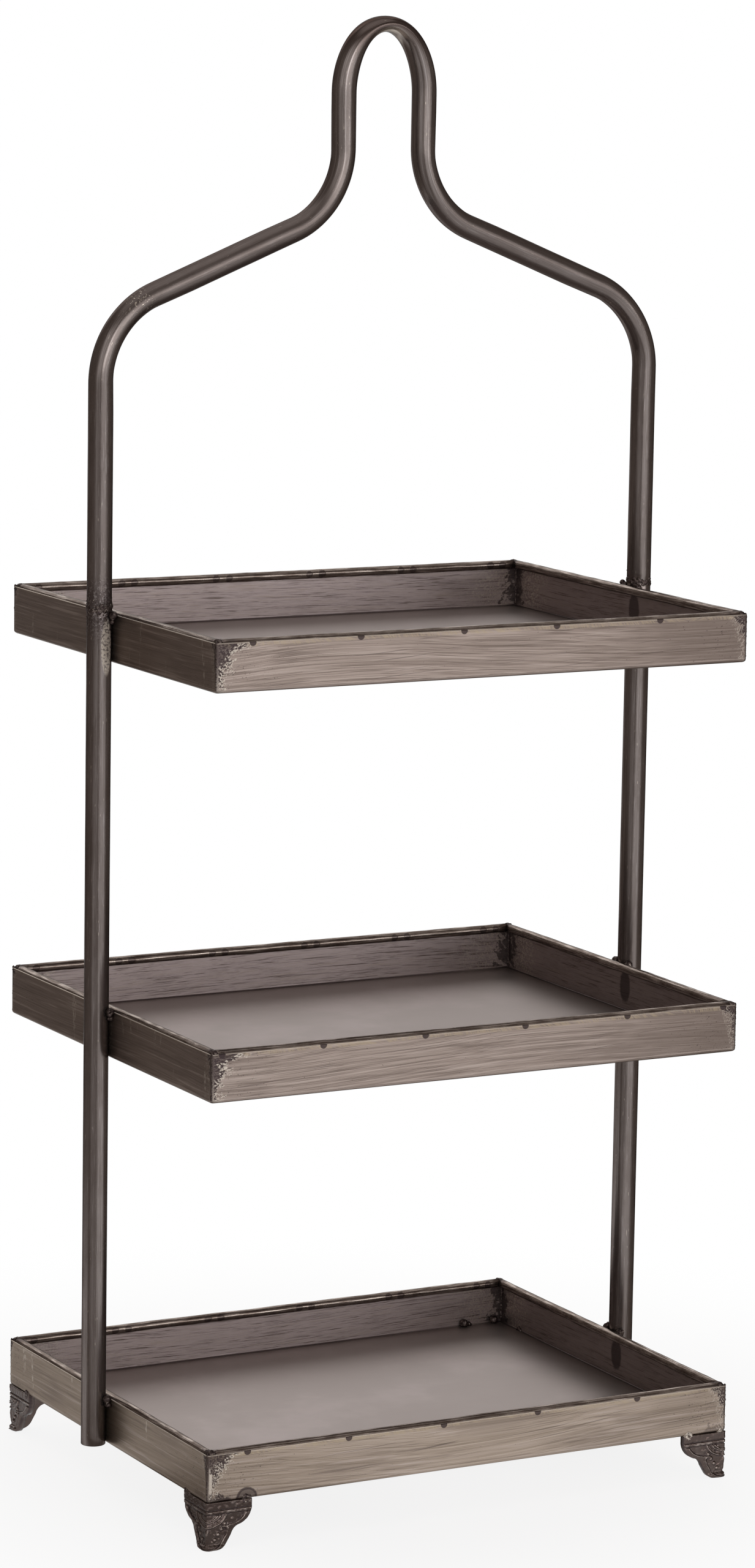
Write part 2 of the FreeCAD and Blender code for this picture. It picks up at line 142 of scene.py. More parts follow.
class StandColours(PropertyGroup):
    """Colours of the finishes."""

    tube: tint("Tube", "Waxed dark steel of posts and arch", (0.2, 0.171, 0.161))
    tube_worn: tint("Worn tube", "Where hands have rubbed the tube", (0.37, 0.337, 0.33))
    sheet: tint("Sheet", "Brushed tray walls", (0.305, 0.247, 0.217))
    # Also the painted highlight along the walls' fold
    sheet_bright: tint("Bright strokes", "Bare strokes of the brush", (0.43, 0.36, 0.324))
    # Also painted as shade: the right ends of the upper walls, the inner side walls and the floors along
    # the walls
    sheet_dark: tint("Dark strokes", "Wax left between the strokes", (0.145, 0.112, 0.096))
    scrubbed: tint("Scrubbed edge", "Yellowed band that was scrubbed along the rim", (0.38, 0.308, 0.216))
    inside: tint("Inside", "Inside of the walls", (0.52, 0.445, 0.445))
    floor: tint("Tray floor", "Smooth floors of the trays", (0.37, 0.325, 0.31))
    # Also the painted shade in the crevice of the inner fold
    stain: tint("Heat stain", "Purple-brown stain beside a weld", (0.048, 0.034, 0.036))
    rod: tint("Rod", "Bronze-brown rim rods", (0.22, 0.182, 0.16))
    rod_bright: tint("Bright rod", "Rubbed crests of the rim rods", (0.5, 0.435, 0.395))
    # Also the painted shade on the arch's sloping runs
    weld: tint("Weld", "Rough weld metal", (0.12, 0.096, 0.087))
    # Also the painted highlight along the walls' top edge and the painted reflection under the handle's
    # crown
    bare: tint("Bare metal", "Chips and ground spots", (0.62, 0.555, 0.485))
    # Also the painted shade over the top of the handle's crown
    foot: tint("Foot", "Dark waxed casting", (0.092, 0.066, 0.058))
    # Rubbed crests of the casting, also painted as highlights
    foot_rubbed_and_glint: tint("Rubbed foot", "Crests of the casting", (0.48, 0.41, 0.375))
    room: tint("Room", "Dim studio around the light panels", (0.2, 0.168, 0.148))
    stage: tint("Stage", "Studio floor", (0.88, 0.88, 0.88))


class Wire:
    """Output of a shader node that takes plain arithmetic."""

    def __init__(self, tree, socket):
        self.tree = tree
        self.socket = socket

    def __add__(self, other):
        return self.tree.math("ADD", self, other)

    def __radd__(self, other):
        return self.tree.math("ADD", other, self)

    def __sub__(self, other):
        return self.tree.math("SUBTRACT", self, other)

    def __rsub__(self, other):
        return self.tree.math("SUBTRACT", other, self)

    def __mul__(self, other):
        return self.tree.math("MULTIPLY", self, other)

    def __rmul__(self, other):
        return self.tree.math("MULTIPLY", other, self)

    def __truediv__(self, other):
        return self.tree.math("DIVIDE", self, other)

    def __abs__(self):
        return self.tree.math("ABSOLUTE", self)


# Sockets of a colour mix node: factor, first colour and second colour, and the result
MIX_INPUTS = (0, 6, 7)
MIX_RESULT = 2


class ShaderTree:
    """Short calls for the nodes that the finishes share."""

    def __init__(self, tree):
        self.nodes = tree.nodes
        self.links = tree.links

    def feed(self, socket, value):
        """Link a wire to a socket, or set a plain value on it."""
        if isinstance(value, Wire):
            self.links.new(value.socket, socket)
        elif socket.type == "RGBA" and len(value) == 3:
            socket.default_value = (*value, 1.0)
        else:
            socket.default_value = value

    def add(self, kind, *inputs, output=0, **settings):
        """New node with its settings, its first inputs fed in order."""
        node = self.nodes.new(f"ShaderNode{kind}")
        for key, setting in settings.items():
            setattr(node, key, setting)
        for socket, value in zip(node.inputs, inputs):
            self.feed(socket, value)
        return Wire(self, node.outputs[output])

    def math(self, operation, *inputs):
        return self.add("Math", *inputs, operation=operation)

    def length(self, x, y):
        """Length of a flat vector."""
        return self.math("SQRT", x * x + y * y)

    def least(self, *values):
        return self.math("MINIMUM", *values)

    def most(self, *values):
        return self.math("MAXIMUM", *values)

    def vector(self, x, y, z):
        return self.add("CombineXYZ", x, y, z)

    def parts(self, vector):
        """X, Y and Z of a vector."""
        x = self.add("SeparateXYZ", vector)
        return x, Wire(self, x.socket.node.outputs[1]), Wire(self, x.socket.node.outputs[2])

    def place(self):
        """Place on the object, in the stand's own frame."""
        return self.parts(self.add("TexCoord", output="Object"))

    def facing(self):
        """Direction that the surface faces."""
        return self.parts(self.add("NewGeometry", output="Normal"))

    def attribute(self, name, output):
        return self.add("Attribute", attribute_name=name, output=output)

    def noise(self, vector, detail=2.0, roughness=0.5, scale=1.0):
        wire = self.add("TexNoise", noise_dimensions="3D")
        inputs = {"Vector": vector, "Scale": scale, "Detail": detail, "Roughness": roughness}
        for name, value in inputs.items():
            self.feed(wire.socket.node.inputs[name], value)
        return wire

    def ease(self, value, low, high, start=0.0, end=1.0):
        """Smooth climb from start to end while a value goes from low to high."""
        return self.add("MapRange", value, low, high, start, end, interpolation_type="SMOOTHSTEP")

    def band(self, value, centre, half, soft):
        """1 within half of a centre, falling to 0 over a soft edge."""
        return self.ease(abs(value - centre), half + soft, half)

    def repeat(self, value, pitch, shift):
        """Distance to the nearest of the places that repeat along a line."""
        wrapped = self.math("WRAP", value - shift, pitch / 2, -pitch / 2)
        return abs(wrapped)

    def blend(self, factor, first, second):
        """Colour between two colours."""
        node = self.nodes.new("ShaderNodeMix")
        node.data_type = "RGBA"
        for place, value in zip(MIX_INPUTS, (factor, first, second)):
            self.feed(node.inputs[place], value)
        return Wire(self, node.outputs[MIX_RESULT])


class Finish(ShaderTree):
    """Material of one finish, whose colour is laid on in coats."""

    def __init__(self, name, metallic, edge_tint):
        self.material = bpy.data.materials.new(name)
        self.material.use_nodes = True
        super().__init__(self.material.node_tree)
        self.shader = self.nodes["Principled BSDF"]
        self.colour = None
        self.set("Metallic", metallic)
        self.set("Specular Tint", (edge_tint, edge_tint, edge_tint))

    def set(self, name, value):
        self.feed(self.shader.inputs[name], value)

    def coat(self, amount, tone):
        """Lay a tone over the colour so far."""
        self.colour = self.blend(amount, self.colour, tone)

    def bump(self, height, distance):
        """Relief from a height between 0 and 1 that stands for a distance."""
        node = self.nodes.new("ShaderNodeBump")
        self.feed(node.inputs["Height"], height)
        self.feed(node.inputs["Distance"], distance)
        self.set("Normal", Wire(self, node.outputs[0]))


def wall_coordinates(finish):
    """Place on a tray's wall: along it, up it, away from the nearest upright corner, and its tier."""
    x, y, z = finish.place()
    facing_x, facing_y, _ = finish.facing()
    on_side = finish.ease(abs(facing_x), 0.6, 0.8)
    along = x + (y - x) * on_side
    reach = HALF_WIDTH + (HALF_DEPTH - HALF_WIDTH) * on_side
    tier = finish.math("FLOOR", (z - FLOOR_LEVEL["bottom"] + 1 * MM) / TIER_PITCH)
    up = z - FLOOR_LEVEL["bottom"] - tier * TIER_PITCH
    to_corner = reach - abs(along)
    strip = along + facing_x * 2.3 + facing_y * 0.7 + tier * 1.9
    return {
        "x": x,
        "along": along,
        "up": up,
        "to_corner": to_corner,
        "tier": tier,
        "strip": strip,
        "on_side": on_side,
        "facing_x": facing_x,
    }


def brush_strokes(finish, strip, up, slope, shorter):
    """Tone around 0.5 of a hand brush's fine strokes, which slope slowly up and down along the wall."""
    drift = finish.noise(finish.vector(strip * 3.5, up * 3.0, 0.0), detail=0.0)
    sloped = up + (drift - 0.5) * slope
    along = strip * shorter
    fine = finish.noise(finish.vector(along * 11.0, sloped * 2100.0, 0.5), detail=4.0, roughness=0.72)
    broad = finish.noise(finish.vector(along * 20.0, sloped * 800.0, 4.5), detail=1.0)
    score = finish.noise(finish.vector(along * 24.0, sloped * 2300.0, 7.5), detail=1.0)
    return (fine - 0.5) * 1.15 + (broad - 0.5) * 0.26 - finish.ease(score, 0.62, 0.70) * 0.16 + 0.52


def brushed_colour(finish, tone, dark, middle, bright):
    """Colour of brushed sheet for a stroke tone around 0.5."""
    colour = finish.blend(finish.ease(tone, 0.30, 0.52), dark, middle)
    return finish.blend(finish.ease(tone, 0.50, 0.72), colour, bright)


def chips(finish, vector, size, amount):
    """Small spots where the finish has come off."""
    grain = finish.noise(vector, detail=2.0, roughness=0.6, scale=1.0 / size)
    return finish.ease(grain, 1.0 - amount, 1.02 - amount)


# Heat spots along the top of the front and back walls, and how far the feet's tacks sit from the corners
SPOT_PITCH = 71.5 * MM
SPOT_START = -21 * MM
MIDDLE_SPOT_SHIFT = -17 * MM
SPOT_JITTER = 16 * MM
TACK_INSET = 28 * MM


def make_outer_wall(colours):
    """Brushed outside of the trays with a scrubbed rim, stained corners and heat spots; painted shade
    darkens the side walls and the right ends of the upper walls, and pale lines along the fold and the top
    edge are painted highlights.
    """
    finish = Finish("brushed_tray_outside", metallic=0.9, edge_tint=0.55)
    wall = wall_coordinates(finish)
    up, strip, on_side = wall["up"], wall["strip"], wall["on_side"]
    spot = finish.vector(strip, up, wall["facing_x"] * 0.2)
    strokes = brush_strokes(finish, strip, up, 34 * MM, 1.0)
    # Painted shade: the side walls' strokes are a little darker and softer than on the front and back
    tone = 0.5 + (strokes - 0.5) * (1.0 - on_side * 0.7) - on_side * 0.09
    clouds = finish.noise(finish.vector(strip * 14.0, up * 40.0, 2.0), detail=3.0)
    finish.colour = brushed_colour(finish, tone, colours.sheet_dark, colours.sheet, colours.sheet_bright)
    on_bottom = finish.ease(wall["tier"], 0.5, 0.4)
    finish.coat(on_bottom * 0.3, colours.scrubbed)
    patina = finish.noise(finish.vector(strip * 13.0, up * 430.0, 5.0), detail=3.0, roughness=0.6)
    finish.coat(finish.ease(clouds, 0.5, 0.72) * 0.35, colours.sheet_dark)
    finish.coat(finish.ease(patina, 0.54, 0.68) * 0.5, colours.sheet_dark)
    finish.coat(finish.ease(patina, 0.46, 0.32) * 0.6, colours.sheet_bright)
    scratch = finish.noise(finish.vector(strip * 16.0, up * 1300.0 - strip * 90.0, 9.0), detail=0.0)
    scratch = finish.ease(scratch, 0.73, 0.77) * (1.0 - on_side)
    finish.coat(scratch * 0.45, colours.stain)
    # Painted shade: the right ends of the middle and top trays' walls are darker
    right_end_shade = finish.ease(wall["x"], 60 * MM, 180 * MM) * finish.ease(wall["tier"], 0.4, 0.6)
    finish.coat(right_end_shade * 0.6, colours.sheet_dark)
    drips = finish.noise(finish.vector(strip * 130.0, up * 16.0, 3.0), detail=0.0)
    broken = finish.noise(finish.vector(strip * 700.0, up * 260.0, 3.0), detail=1.0)
    drips = finish.ease(drips, 0.72, 0.77) * finish.ease(broken, 0.45, 0.6) * on_side
    finish.coat(drips * 0.4, colours.bare)

    hatch = finish.noise(finish.vector((strip + up * 0.8) * 900.0, up * 120.0, 1.0), detail=2.0)
    edge = WALL_HEIGHT - 1.0 * MM + (clouds - 0.5) * 3 * MM
    scrub = finish.band(up, edge, 1.1 * MM, 0.9 * MM) * finish.ease(hatch, 0.35, 0.62)
    scrub = scrub * (1.0 - on_side * 0.85)
    finish.coat(scrub * 0.6, colours.scrubbed)
    # Painted highlight: a pale line along the wall just above its fold
    fold_highlight = finish.band(up, 2.4 * MM, 0.2 * MM, 0.4 * MM) * finish.ease(clouds, 0.4, 0.5)
    finish.coat(fold_highlight * 0.5, colours.sheet_bright)

    ragged = finish.noise(finish.vector(strip * 190.0, up * 190.0, 6.0), detail=5.0, roughness=0.7)
    burnt = finish.ease(wall["x"], 20 * MM, -20 * MM, 0.5, 1.0) * (1.0 - on_side * 0.75)
    upper = finish.ease(up, 4 * MM, WALL_HEIGHT, 0.25, 1.25) + finish.ease(up, 24 * MM, 31 * MM) * 0.9
    upper = upper * burnt
    reach = wall["to_corner"] + (ragged - 0.5) * 34 * MM * burnt
    stain = finish.ease(reach, 11.5 * MM * upper, 9.5 * MM * upper)
    grain = finish.noise(spot, detail=2.0, roughness=0.6, scale=1.0 / (1.2 * MM))
    chipped = finish.band(reach, 10 * MM * upper, 2.5 * MM, 3 * MM) * burnt
    flakes = finish.ease(grain, 0.5, 0.56) * chipped
    low_reach = up + finish.ease(wall["to_corner"], 14 * MM, 24 * MM) * 20 * MM + (ragged - 0.5) * 22 * MM
    low_stain = finish.ease(low_reach, 5.5 * MM, 4.5 * MM) * on_bottom * burnt
    burn = finish.most(stain, low_stain) * finish.ease(grain, 0.62, 0.42, 0.6, 0.95)
    finish.coat(burn, colours.stain)
    finish.coat(flakes * 0.8, colours.bare)
    near = finish.ease(wall["to_corner"], 70 * MM, 12 * MM, 0.0, 0.07)
    specks = finish.ease(grain + near, 0.72, 0.75)
    finish.coat(specks * 0.7, colours.stain)

    start = finish.band(wall["tier"], 1.0, 0.2, 0.1) * MIDDLE_SPOT_SHIFT + SPOT_START
    number = finish.math("ROUND", (wall["along"] - start) / SPOT_PITCH)
    jitter = finish.noise(finish.vector(number * 7.3, wall["tier"] * 3.1, 0.4), detail=0.0) - 0.5
    sideways = wall["along"] - start - number * SPOT_PITCH - jitter * SPOT_JITTER
    heat = finish.length(sideways, up - WALL_HEIGHT + 0.3 * MM)
    heat = finish.ease(heat, 2.6 * MM, 2.2 * MM) * (1.0 - on_side)
    finish.coat(heat * 0.9, colours.stain)

    tack = finish.length(wall["to_corner"] - TACK_INSET, up) + (ragged - 0.5) * 2 * MM
    heated = on_bottom * (1.0 - on_side) * finish.ease(wall["x"], 20 * MM, -20 * MM)
    worn_edge = finish.band(wall["to_corner"], 2.6 * MM, 0.8 * MM, 0.7 * MM)
    worn_edge = worn_edge * finish.ease(ragged, 0.42, 0.52)
    worn_edge = worn_edge * finish.band(up, 14 * MM, 7 * MM, 3 * MM) * heated
    finish.coat(worn_edge * 0.9, colours.bare)
    glow = finish.ease(tack, 7.5 * MM, 6.5 * MM) * heated
    rim = finish.band(tack, 6.8 * MM, 0.5 * MM, 0.6 * MM) * heated
    finish.coat(glow * 0.8, colours.weld)
    finish.coat(rim * 0.7, colours.stain)

    # Painted highlight: a broken pale line along the wall's top edge
    lip = finish.ease(up, WALL_HEIGHT - 0.6 * MM, WALL_HEIGHT - 0.3 * MM) * finish.ease(ragged, 0.35, 0.5)
    finish.coat(lip * (1.0 - heat) * 0.85, colours.bare)

    finish.set("Base Color", finish.colour)
    finish.set("Roughness", 0.36 + (tone - 0.5) * 0.3 + stain * 0.06)
    finish.bump(strokes * 0.5 + flakes * 0.4 + heat * 0.3 - specks * 0.3, 0.1 * MM)
    return finish.material


def make_inner_wall(colours):
    """Inside of the walls: purple-grey brushed sheet with a dark line of painted shade in the fold, side
    walls painted darker as shade, and speckled corners.
    """
    finish = Finish("brushed_tray_inside", metallic=0.9, edge_tint=0.55)
    wall = wall_coordinates(finish)
    up, strip = wall["up"], wall["strip"]
    tone = brush_strokes(finish, strip, up, 12 * MM, 2.4)
    clouds = finish.noise(finish.vector(strip * 30.0, up * 90.0, 2.0), detail=5.0, roughness=0.65)
    spot = finish.vector(strip, up, wall["facing_x"] * 0.2)
    finish.colour = brushed_colour(finish, tone, colours.sheet_dark, colours.inside, colours.sheet_bright)
    finish.coat(finish.ease(clouds, 0.5, 0.75) * 0.22, colours.sheet_dark)
    # Painted shade: the inner side walls are darker than the front and back
    finish.coat(wall["on_side"] * 0.4, colours.sheet_dark)
    # Painted shade: a dark line in the crevice of the fold at the wall's foot
    fold = finish.band(up, 1.5 * MM, 0.3 * MM, 0.3 * MM)
    finish.coat(fold * 0.7, colours.stain)
    ragged = finish.noise(finish.vector(strip * 150.0, up * 150.0, 6.0), detail=5.0, roughness=0.7)
    reach = wall["to_corner"] + (ragged - 0.5) * 60 * MM
    dust = chips(finish, spot, 1.2 * MM, 0.47) * finish.ease(reach, 50 * MM, 20 * MM)
    finish.coat(dust * 0.6, colours.bare)
    stain = finish.ease(reach, 10 * MM, 6 * MM)
    finish.coat(stain * 0.75, colours.stain)
    oval = finish.length(wall["along"] + 10 * MM, (up - 17 * MM) * 0.6) + (ragged - 0.5) * 3 * MM
    burn = finish.ease(oval, 7.5 * MM, 5.5 * MM) * wall["on_side"]
    finish.coat(burn * 0.75, colours.stain)
    finish.set("Base Color", finish.colour)
    finish.set("Roughness", 0.4 + (tone - 0.5) * 0.3)
    finish.bump(tone, 0.05 * MM)
    return finish.material


def make_tray_floor(colours):
    """Satin floor and underside of the trays, with faint rubbing and painted shade along the walls."""
    finish = Finish("satin_tray_floor", metallic=0.9, edge_tint=0.7)
    x, y, z = finish.place()
    clouds = finish.noise(finish.vector(x * 14.0, y * 14.0, z * 9.0), detail=4.0, roughness=0.6)
    rubbed = finish.noise(finish.vector(x * 25.0, y * 900.0, z * 9.0), detail=2.0)
    grain = finish.noise(finish.vector(x, y, z), detail=1.0, scale=1.0 / (0.8 * MM))
    to_wall = finish.least(HALF_WIDTH - abs(x), HALF_DEPTH - abs(y))
    # Painted shade: the floor is darker close to the walls
    wall_shade = finish.ease(to_wall + (clouds - 0.5) * 12 * MM, 12 * MM, 2 * MM)
    finish.colour = finish.blend(finish.ease(clouds, 0.55, 0.3) * 0.3, colours.floor, colours.inside)
    finish.coat(finish.ease(rubbed, 0.5, 0.8) * 0.2, colours.sheet_bright)
    finish.coat(wall_shade * 0.45, colours.sheet_dark)
    specks = chips(finish, finish.vector(x, y, z), 1.6 * MM, 0.25)
    finish.coat(specks * 0.3, colours.stain)
    finish.set("Base Color", finish.colour)
    finish.set("Roughness", 0.36 + clouds * 0.1 + grain * 0.04)
    finish.bump(grain * 0.5 + rubbed * 0.5, 0.02 * MM)
    return finish.material


# Heights in metres over which the arch's runs and its loop begin, for the tube's finish
RUNS_BEGIN = (0.755, 0.775)
LOOP_BEGINS = (0.80, 0.86)

# Knocked shoulder of the arch, and the patch that was ground below the left joint
KNOCKED_X = -177 * MM
KNOCKED_Z = 771 * MM
GROUND_DROP = 24 * MM
GROUND_HALF = 19 * MM


def make_tube(colours):
    """Waxed dark tube with rougher runs painted darker as shade, a crown with a painted reflection
    underneath and painted shade over its top, nicks and a ground patch below the left joint.
    """
    finish = Finish("waxed_dark_tube", metallic=0.92, edge_tint=0.25)
    run, across, over = finish.parts(finish.attribute("tube_coord", "Vector"))
    x, y, z = finish.place()
    drawn = finish.noise(finish.vector(run * 5.0, across * 900.0, over * 900.0), detail=3.0, roughness=0.6)
    clouds = finish.noise(finish.vector(run * 30.0, across * 90.0, over * 90.0), detail=4.0, roughness=0.6)
    hairs = finish.noise(finish.vector(run * 60.0, across * 2600.0, over * 2600.0), detail=1.0)
    spot = finish.vector(run, across, over)
    worn = finish.ease(z, *LOOP_BEGINS)
    finish.colour = finish.blend(finish.ease(clouds, 0.35, 0.7) * 0.5, colours.tube, colours.weld)
    finish.coat(finish.ease(drawn, 0.5, 0.72) * (0.3 + worn * 0.35), colours.tube_worn)
    finish.coat(finish.ease(hairs, 0.62, 0.70) * 0.5, colours.tube_worn)
    facing_x, facing_y, facing_z = finish.facing()
    # Painted reflection: a pale patch on the underside of the crown, where it faces down
    crown_underside_reflection = finish.ease(z, STAND_TOP - 38 * MM, STAND_TOP - 22 * MM) * finish.ease(facing_z, -0.3, -0.8)
    finish.coat(crown_underside_reflection * finish.ease(clouds, 0.25, 0.5) * 0.8, colours.bare)
    # Painted shade: the top and sides of the crown are darker
    crown_top_shade = finish.ease(z, STAND_TOP - 28 * MM, STAND_TOP - 12 * MM) * finish.ease(facing_z, -0.75, -0.35)
    finish.coat(crown_top_shade * 0.7, colours.foot)
    nicks = finish.noise(finish.vector(run * 240.0, across * 1500.0, over * 1500.0), detail=1.0)
    finish.coat(finish.ease(nicks, 0.74, 0.78) * 0.6, colours.bare)
    # Painted shade: the arch's sloping runs are darker; they are also rougher
    sloping = finish.ease(z, *RUNS_BEGIN) * finish.ease(abs(x), 30 * MM, 45 * MM)
    finish.coat(sloping * 0.4, colours.weld)
    flecks = chips(finish, spot, 1.1 * MM, 0.245)
    finish.coat(flecks * 0.6, colours.bare)

    shoulder = finish.ease(abs(x - KNOCKED_X), 16 * MM, 4 * MM)
    shoulder = shoulder * finish.ease(abs(z - KNOCKED_Z), 12 * MM, 3 * MM)
    knocks = chips(finish, spot, 1.6 * MM, 0.38) * shoulder * finish.ease(y, 0.0, -4 * MM)
    finish.coat(knocks, colours.bare)

    spatter = finish.ease(abs(z - JOINT_Z), 26 * MM, 6 * MM) * finish.ease(x, 0.0, -10 * MM)
    pits = finish.noise(spot, detail=3.0, roughness=0.7, scale=1.0 / (1.6 * MM))
    finish.coat(spatter * 0.55, colours.stain)
    finish.coat(spatter * finish.ease(pits, 0.5, 0.62) * 0.6, colours.tube_worn)
    towards = facing_x * 0.24 - facing_y * 0.97
    tall = (z - JOINT_Z + GROUND_DROP) / GROUND_HALF
    wide = finish.math("ARCCOSINE", finish.least(towards, 1.0)) / 0.55
    ground = finish.ease(tall * tall + wide * wide, 1.1, 0.55) * finish.ease(x, 0.0, -10 * MM)
    finish.coat(ground * finish.ease(pits, 0.4, 0.52), colours.bare)

    finish.set("Base Color", finish.colour)
    finish.set("Metallic", 0.92 - ground * 0.55)
    rough = 0.16 + clouds * 0.08 + pits * 0.06 + spatter * 0.1
    finish.set("Roughness", rough + ground * 0.25 + sloping * 0.12)
    finish.bump(drawn * 0.2 + pits * 0.25 + hairs * 0.2 + spatter * pits * 2.0 - knocks * 0.8, 0.09 * MM)
    return finish.material


def make_rod(colours):
    """Mottled bronze-brown rim rods with pairs of dark tack marks."""
    finish = Finish("mottled_rim_rod", metallic=0.92, edge_tint=0.5)
    wall = wall_coordinates(finish)
    x, y, z = finish.place()
    spot = finish.vector(x, y, z)
    mottle = finish.noise(spot, detail=4.0, roughness=0.65, scale=150.0)
    lines = finish.noise(finish.vector(x * 60.0, y * 60.0, z * 1400.0), detail=2.0)
    finish.colour = finish.blend(finish.ease(mottle, 0.32, 0.68), colours.sheet_dark, colours.rod)
    finish.coat(finish.ease(lines, 0.45, 0.7) * 0.8, colours.rod_bright)
    along_x = finish.ease(abs(y), HALF_DEPTH - 12 * MM, HALF_DEPTH - 10 * MM)
    nearest = finish.repeat(x, 70 * MM, 30 * MM) - 4.8 * MM
    oval = finish.length(nearest, wall["up"] - ROD_LIFT) + (mottle - 0.5) * 2 * MM
    marks = finish.ease(oval, 2.9 * MM, 2.2 * MM) * along_x * finish.ease(y, 0.0, 10 * MM)
    finish.coat(marks * 0.6, colours.stain)
    ends = finish.ease(HALF_WIDTH - abs(x) + HALF_DEPTH - abs(y), 26 * MM, 9 * MM)
    finish.coat(ends * finish.ease(mottle, 0.35, 0.6) * 0.7, colours.stain)
    finish.set("Base Color", finish.colour)
    finish.set("Roughness", 0.14 + mottle * 0.2)
    finish.bump(mottle * 0.6 + lines * 0.2 + marks * 0.5, 0.15 * MM)
    return finish.material


# Front right foot, where the weld metal is pale: the edges of that place along X, Y and Z
PALE_X = (150 * MM, 156 * MM)
PALE_Y = (-140 * MM, -146 * MM)
PALE_Z = (50 * MM, 40 * MM)


def make_weld(colours, name="rough_weld_metal", shine=0.56):
    """Rough weld metal: dark hollows and bright crests, which start at a share of the grain's range."""
    finish = Finish(name, metallic=0.95, edge_tint=0.6)
    x, y, z = finish.place()
    spot = finish.vector(x, y, z)
    pits = finish.noise(spot, detail=4.0, roughness=0.7, scale=700.0)
    clouds = finish.noise(spot, detail=2.0, scale=160.0)
    finish.colour = finish.blend(finish.ease(pits, 0.36, 0.6), colours.stain, colours.weld)
    crests = finish.ease(pits, shine, shine + 0.15)
    finish.coat(crests * finish.ease(clouds, 0.35, 0.6), colours.bare)
    pale = finish.ease(x, *PALE_X) * finish.ease(y, *PALE_Y) * finish.ease(z, *PALE_Z)
    finish.coat(pale * finish.ease(pits, 0.35, 0.5) * 0.75, colours.bare)
    finish.set("Base Color", finish.colour)
    finish.set("Roughness", 0.27 + clouds * 0.25)
    finish.bump(pits, 0.25 * MM)
    return finish.material


def make_seam(colours):
    """Burnt weld metal of the tray corners."""
    return make_weld(colours, "burnt_corner_seam", shine=0.64)


def make_casting(colours):
    """Dark waxed casting with rubbed crests that also carry painted highlights, and cast skin."""
    finish = Finish("waxed_casting", metallic=0.85, edge_tint=0.5)
    x, y, z = finish.place()
    spot = finish.vector(x, y, z)
    crest = finish.attribute("crest", "Fac")
    skin = finish.noise(spot, detail=3.0, roughness=0.6, scale=900.0)
    clouds = finish.noise(spot, detail=3.0, scale=170.0)
    # Crests: partly real rubbed wear, partly painted highlights
    rubbed = finish.ease(crest + (clouds - 0.5) * 1.6, 0.4, 0.9)
    hollow = finish.ease(crest, -0.2, -0.8)
    finish.colour = finish.blend(finish.ease(clouds, 0.45, 0.7) * 0.6, colours.foot, colours.weld)
    finish.coat(hollow * 0.8, colours.stain)
    finish.coat(rubbed * 0.42, colours.foot_rubbed_and_glint)
    finish.set("Base Color", finish.colour)
    finish.set("Coat Weight", 0.3)
    finish.set("Coat Roughness", 0.08)
    finish.set("Roughness", 0.12 + clouds * 0.12 + hollow * 0.2)
    finish.bump(skin * 0.6 + clouds * 3.0, 0.14 * MM)
    return finish.material


FINISHES = {
    "outer_wall": make_outer_wall,
    "inner_wall": make_inner_wall,
    "tray_floor": make_tray_floor,
    "tube": make_tube,
    "rod": make_rod,
    "weld": make_weld,
    "seam": make_seam,
    "casting": make_casting,
}
made_finishes = {}


def finish_of(name):
    """Material of a finish, made once."""
    if name not in made_finishes:
        made_finishes[name] = FINISHES[name](bpy.context.scene.stand_colours)
    return made_finishes[name]


def stand_in(name, mesh, slot, nodes, *finishes):
    """Object of a finished mesh that rides on the stand in place of its CAD nodes."""
    piece = bpy.data.objects.new(name, mesh)
    bpy.context.scene.collection.objects.link(piece)
    for finish in finishes:
        mesh.materials.append(finish_of(finish))
    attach(piece, BODY)
    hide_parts(*nodes)
    return piece


def face_outwards(mesh):
    """Turn every face of a closed mesh outwards and shade it smooth."""
    shell = bmesh.new()
    shell.from_mesh(mesh)
    bmesh.ops.recalc_face_normals(shell, faces=shell.faces)
    shell.to_mesh(mesh)
    shell.free()
    mesh.shade_smooth()


def skin_rings(name, rings, caps=False, tones=None):
    """Closed mesh through rings of as many points each, capped at both ends or joined end to end."""
    count = len(rings[0])
    points = [tuple(point) for ring in rings for point in ring]
    faces = []
    for row in range(len(rings) - 1 if caps else len(rings)):
        here, there = row * count, (row + 1) % len(rings) * count
        for step in range(count):
            ahead = (step + 1) % count
            faces.append((here + step, here + ahead, there + ahead, there + step))
    tone_of_face = [tones[index // count] if tones else 0 for index in range(len(faces))]
    if caps:
        faces.append(tuple(range(count)))
        faces.append(tuple(range(len(points) - count, len(points))))
        tone_of_face += [tone_of_face[0], tone_of_face[-1]]
    mesh = bpy.data.meshes.new(name)
    mesh.from_pydata(points, [], faces)
    mesh.polygons.foreach_set("material_index", tone_of_face)
    face_outwards(mesh)
    return mesh


def wander(seed, *place):
    """Smooth noise between about -1 and 1."""
    return noise.noise(Vector(place) + Vector((seed * 17.3, seed * 5.1, seed * 9.7)))


STATION_STEP = 6 * MM
BEND_STEP = 2.5 * MM
TUBE_SIDES = 40
LOOP_STEPS = 56
TUBE_DENT = 0.05 * MM
END_CHAMFER = 0.25 * MM
CHAMFER_RUN = 0.3 * MM

# Share of the width lost in a bend that the tube gains across it
BULGE = 0.85


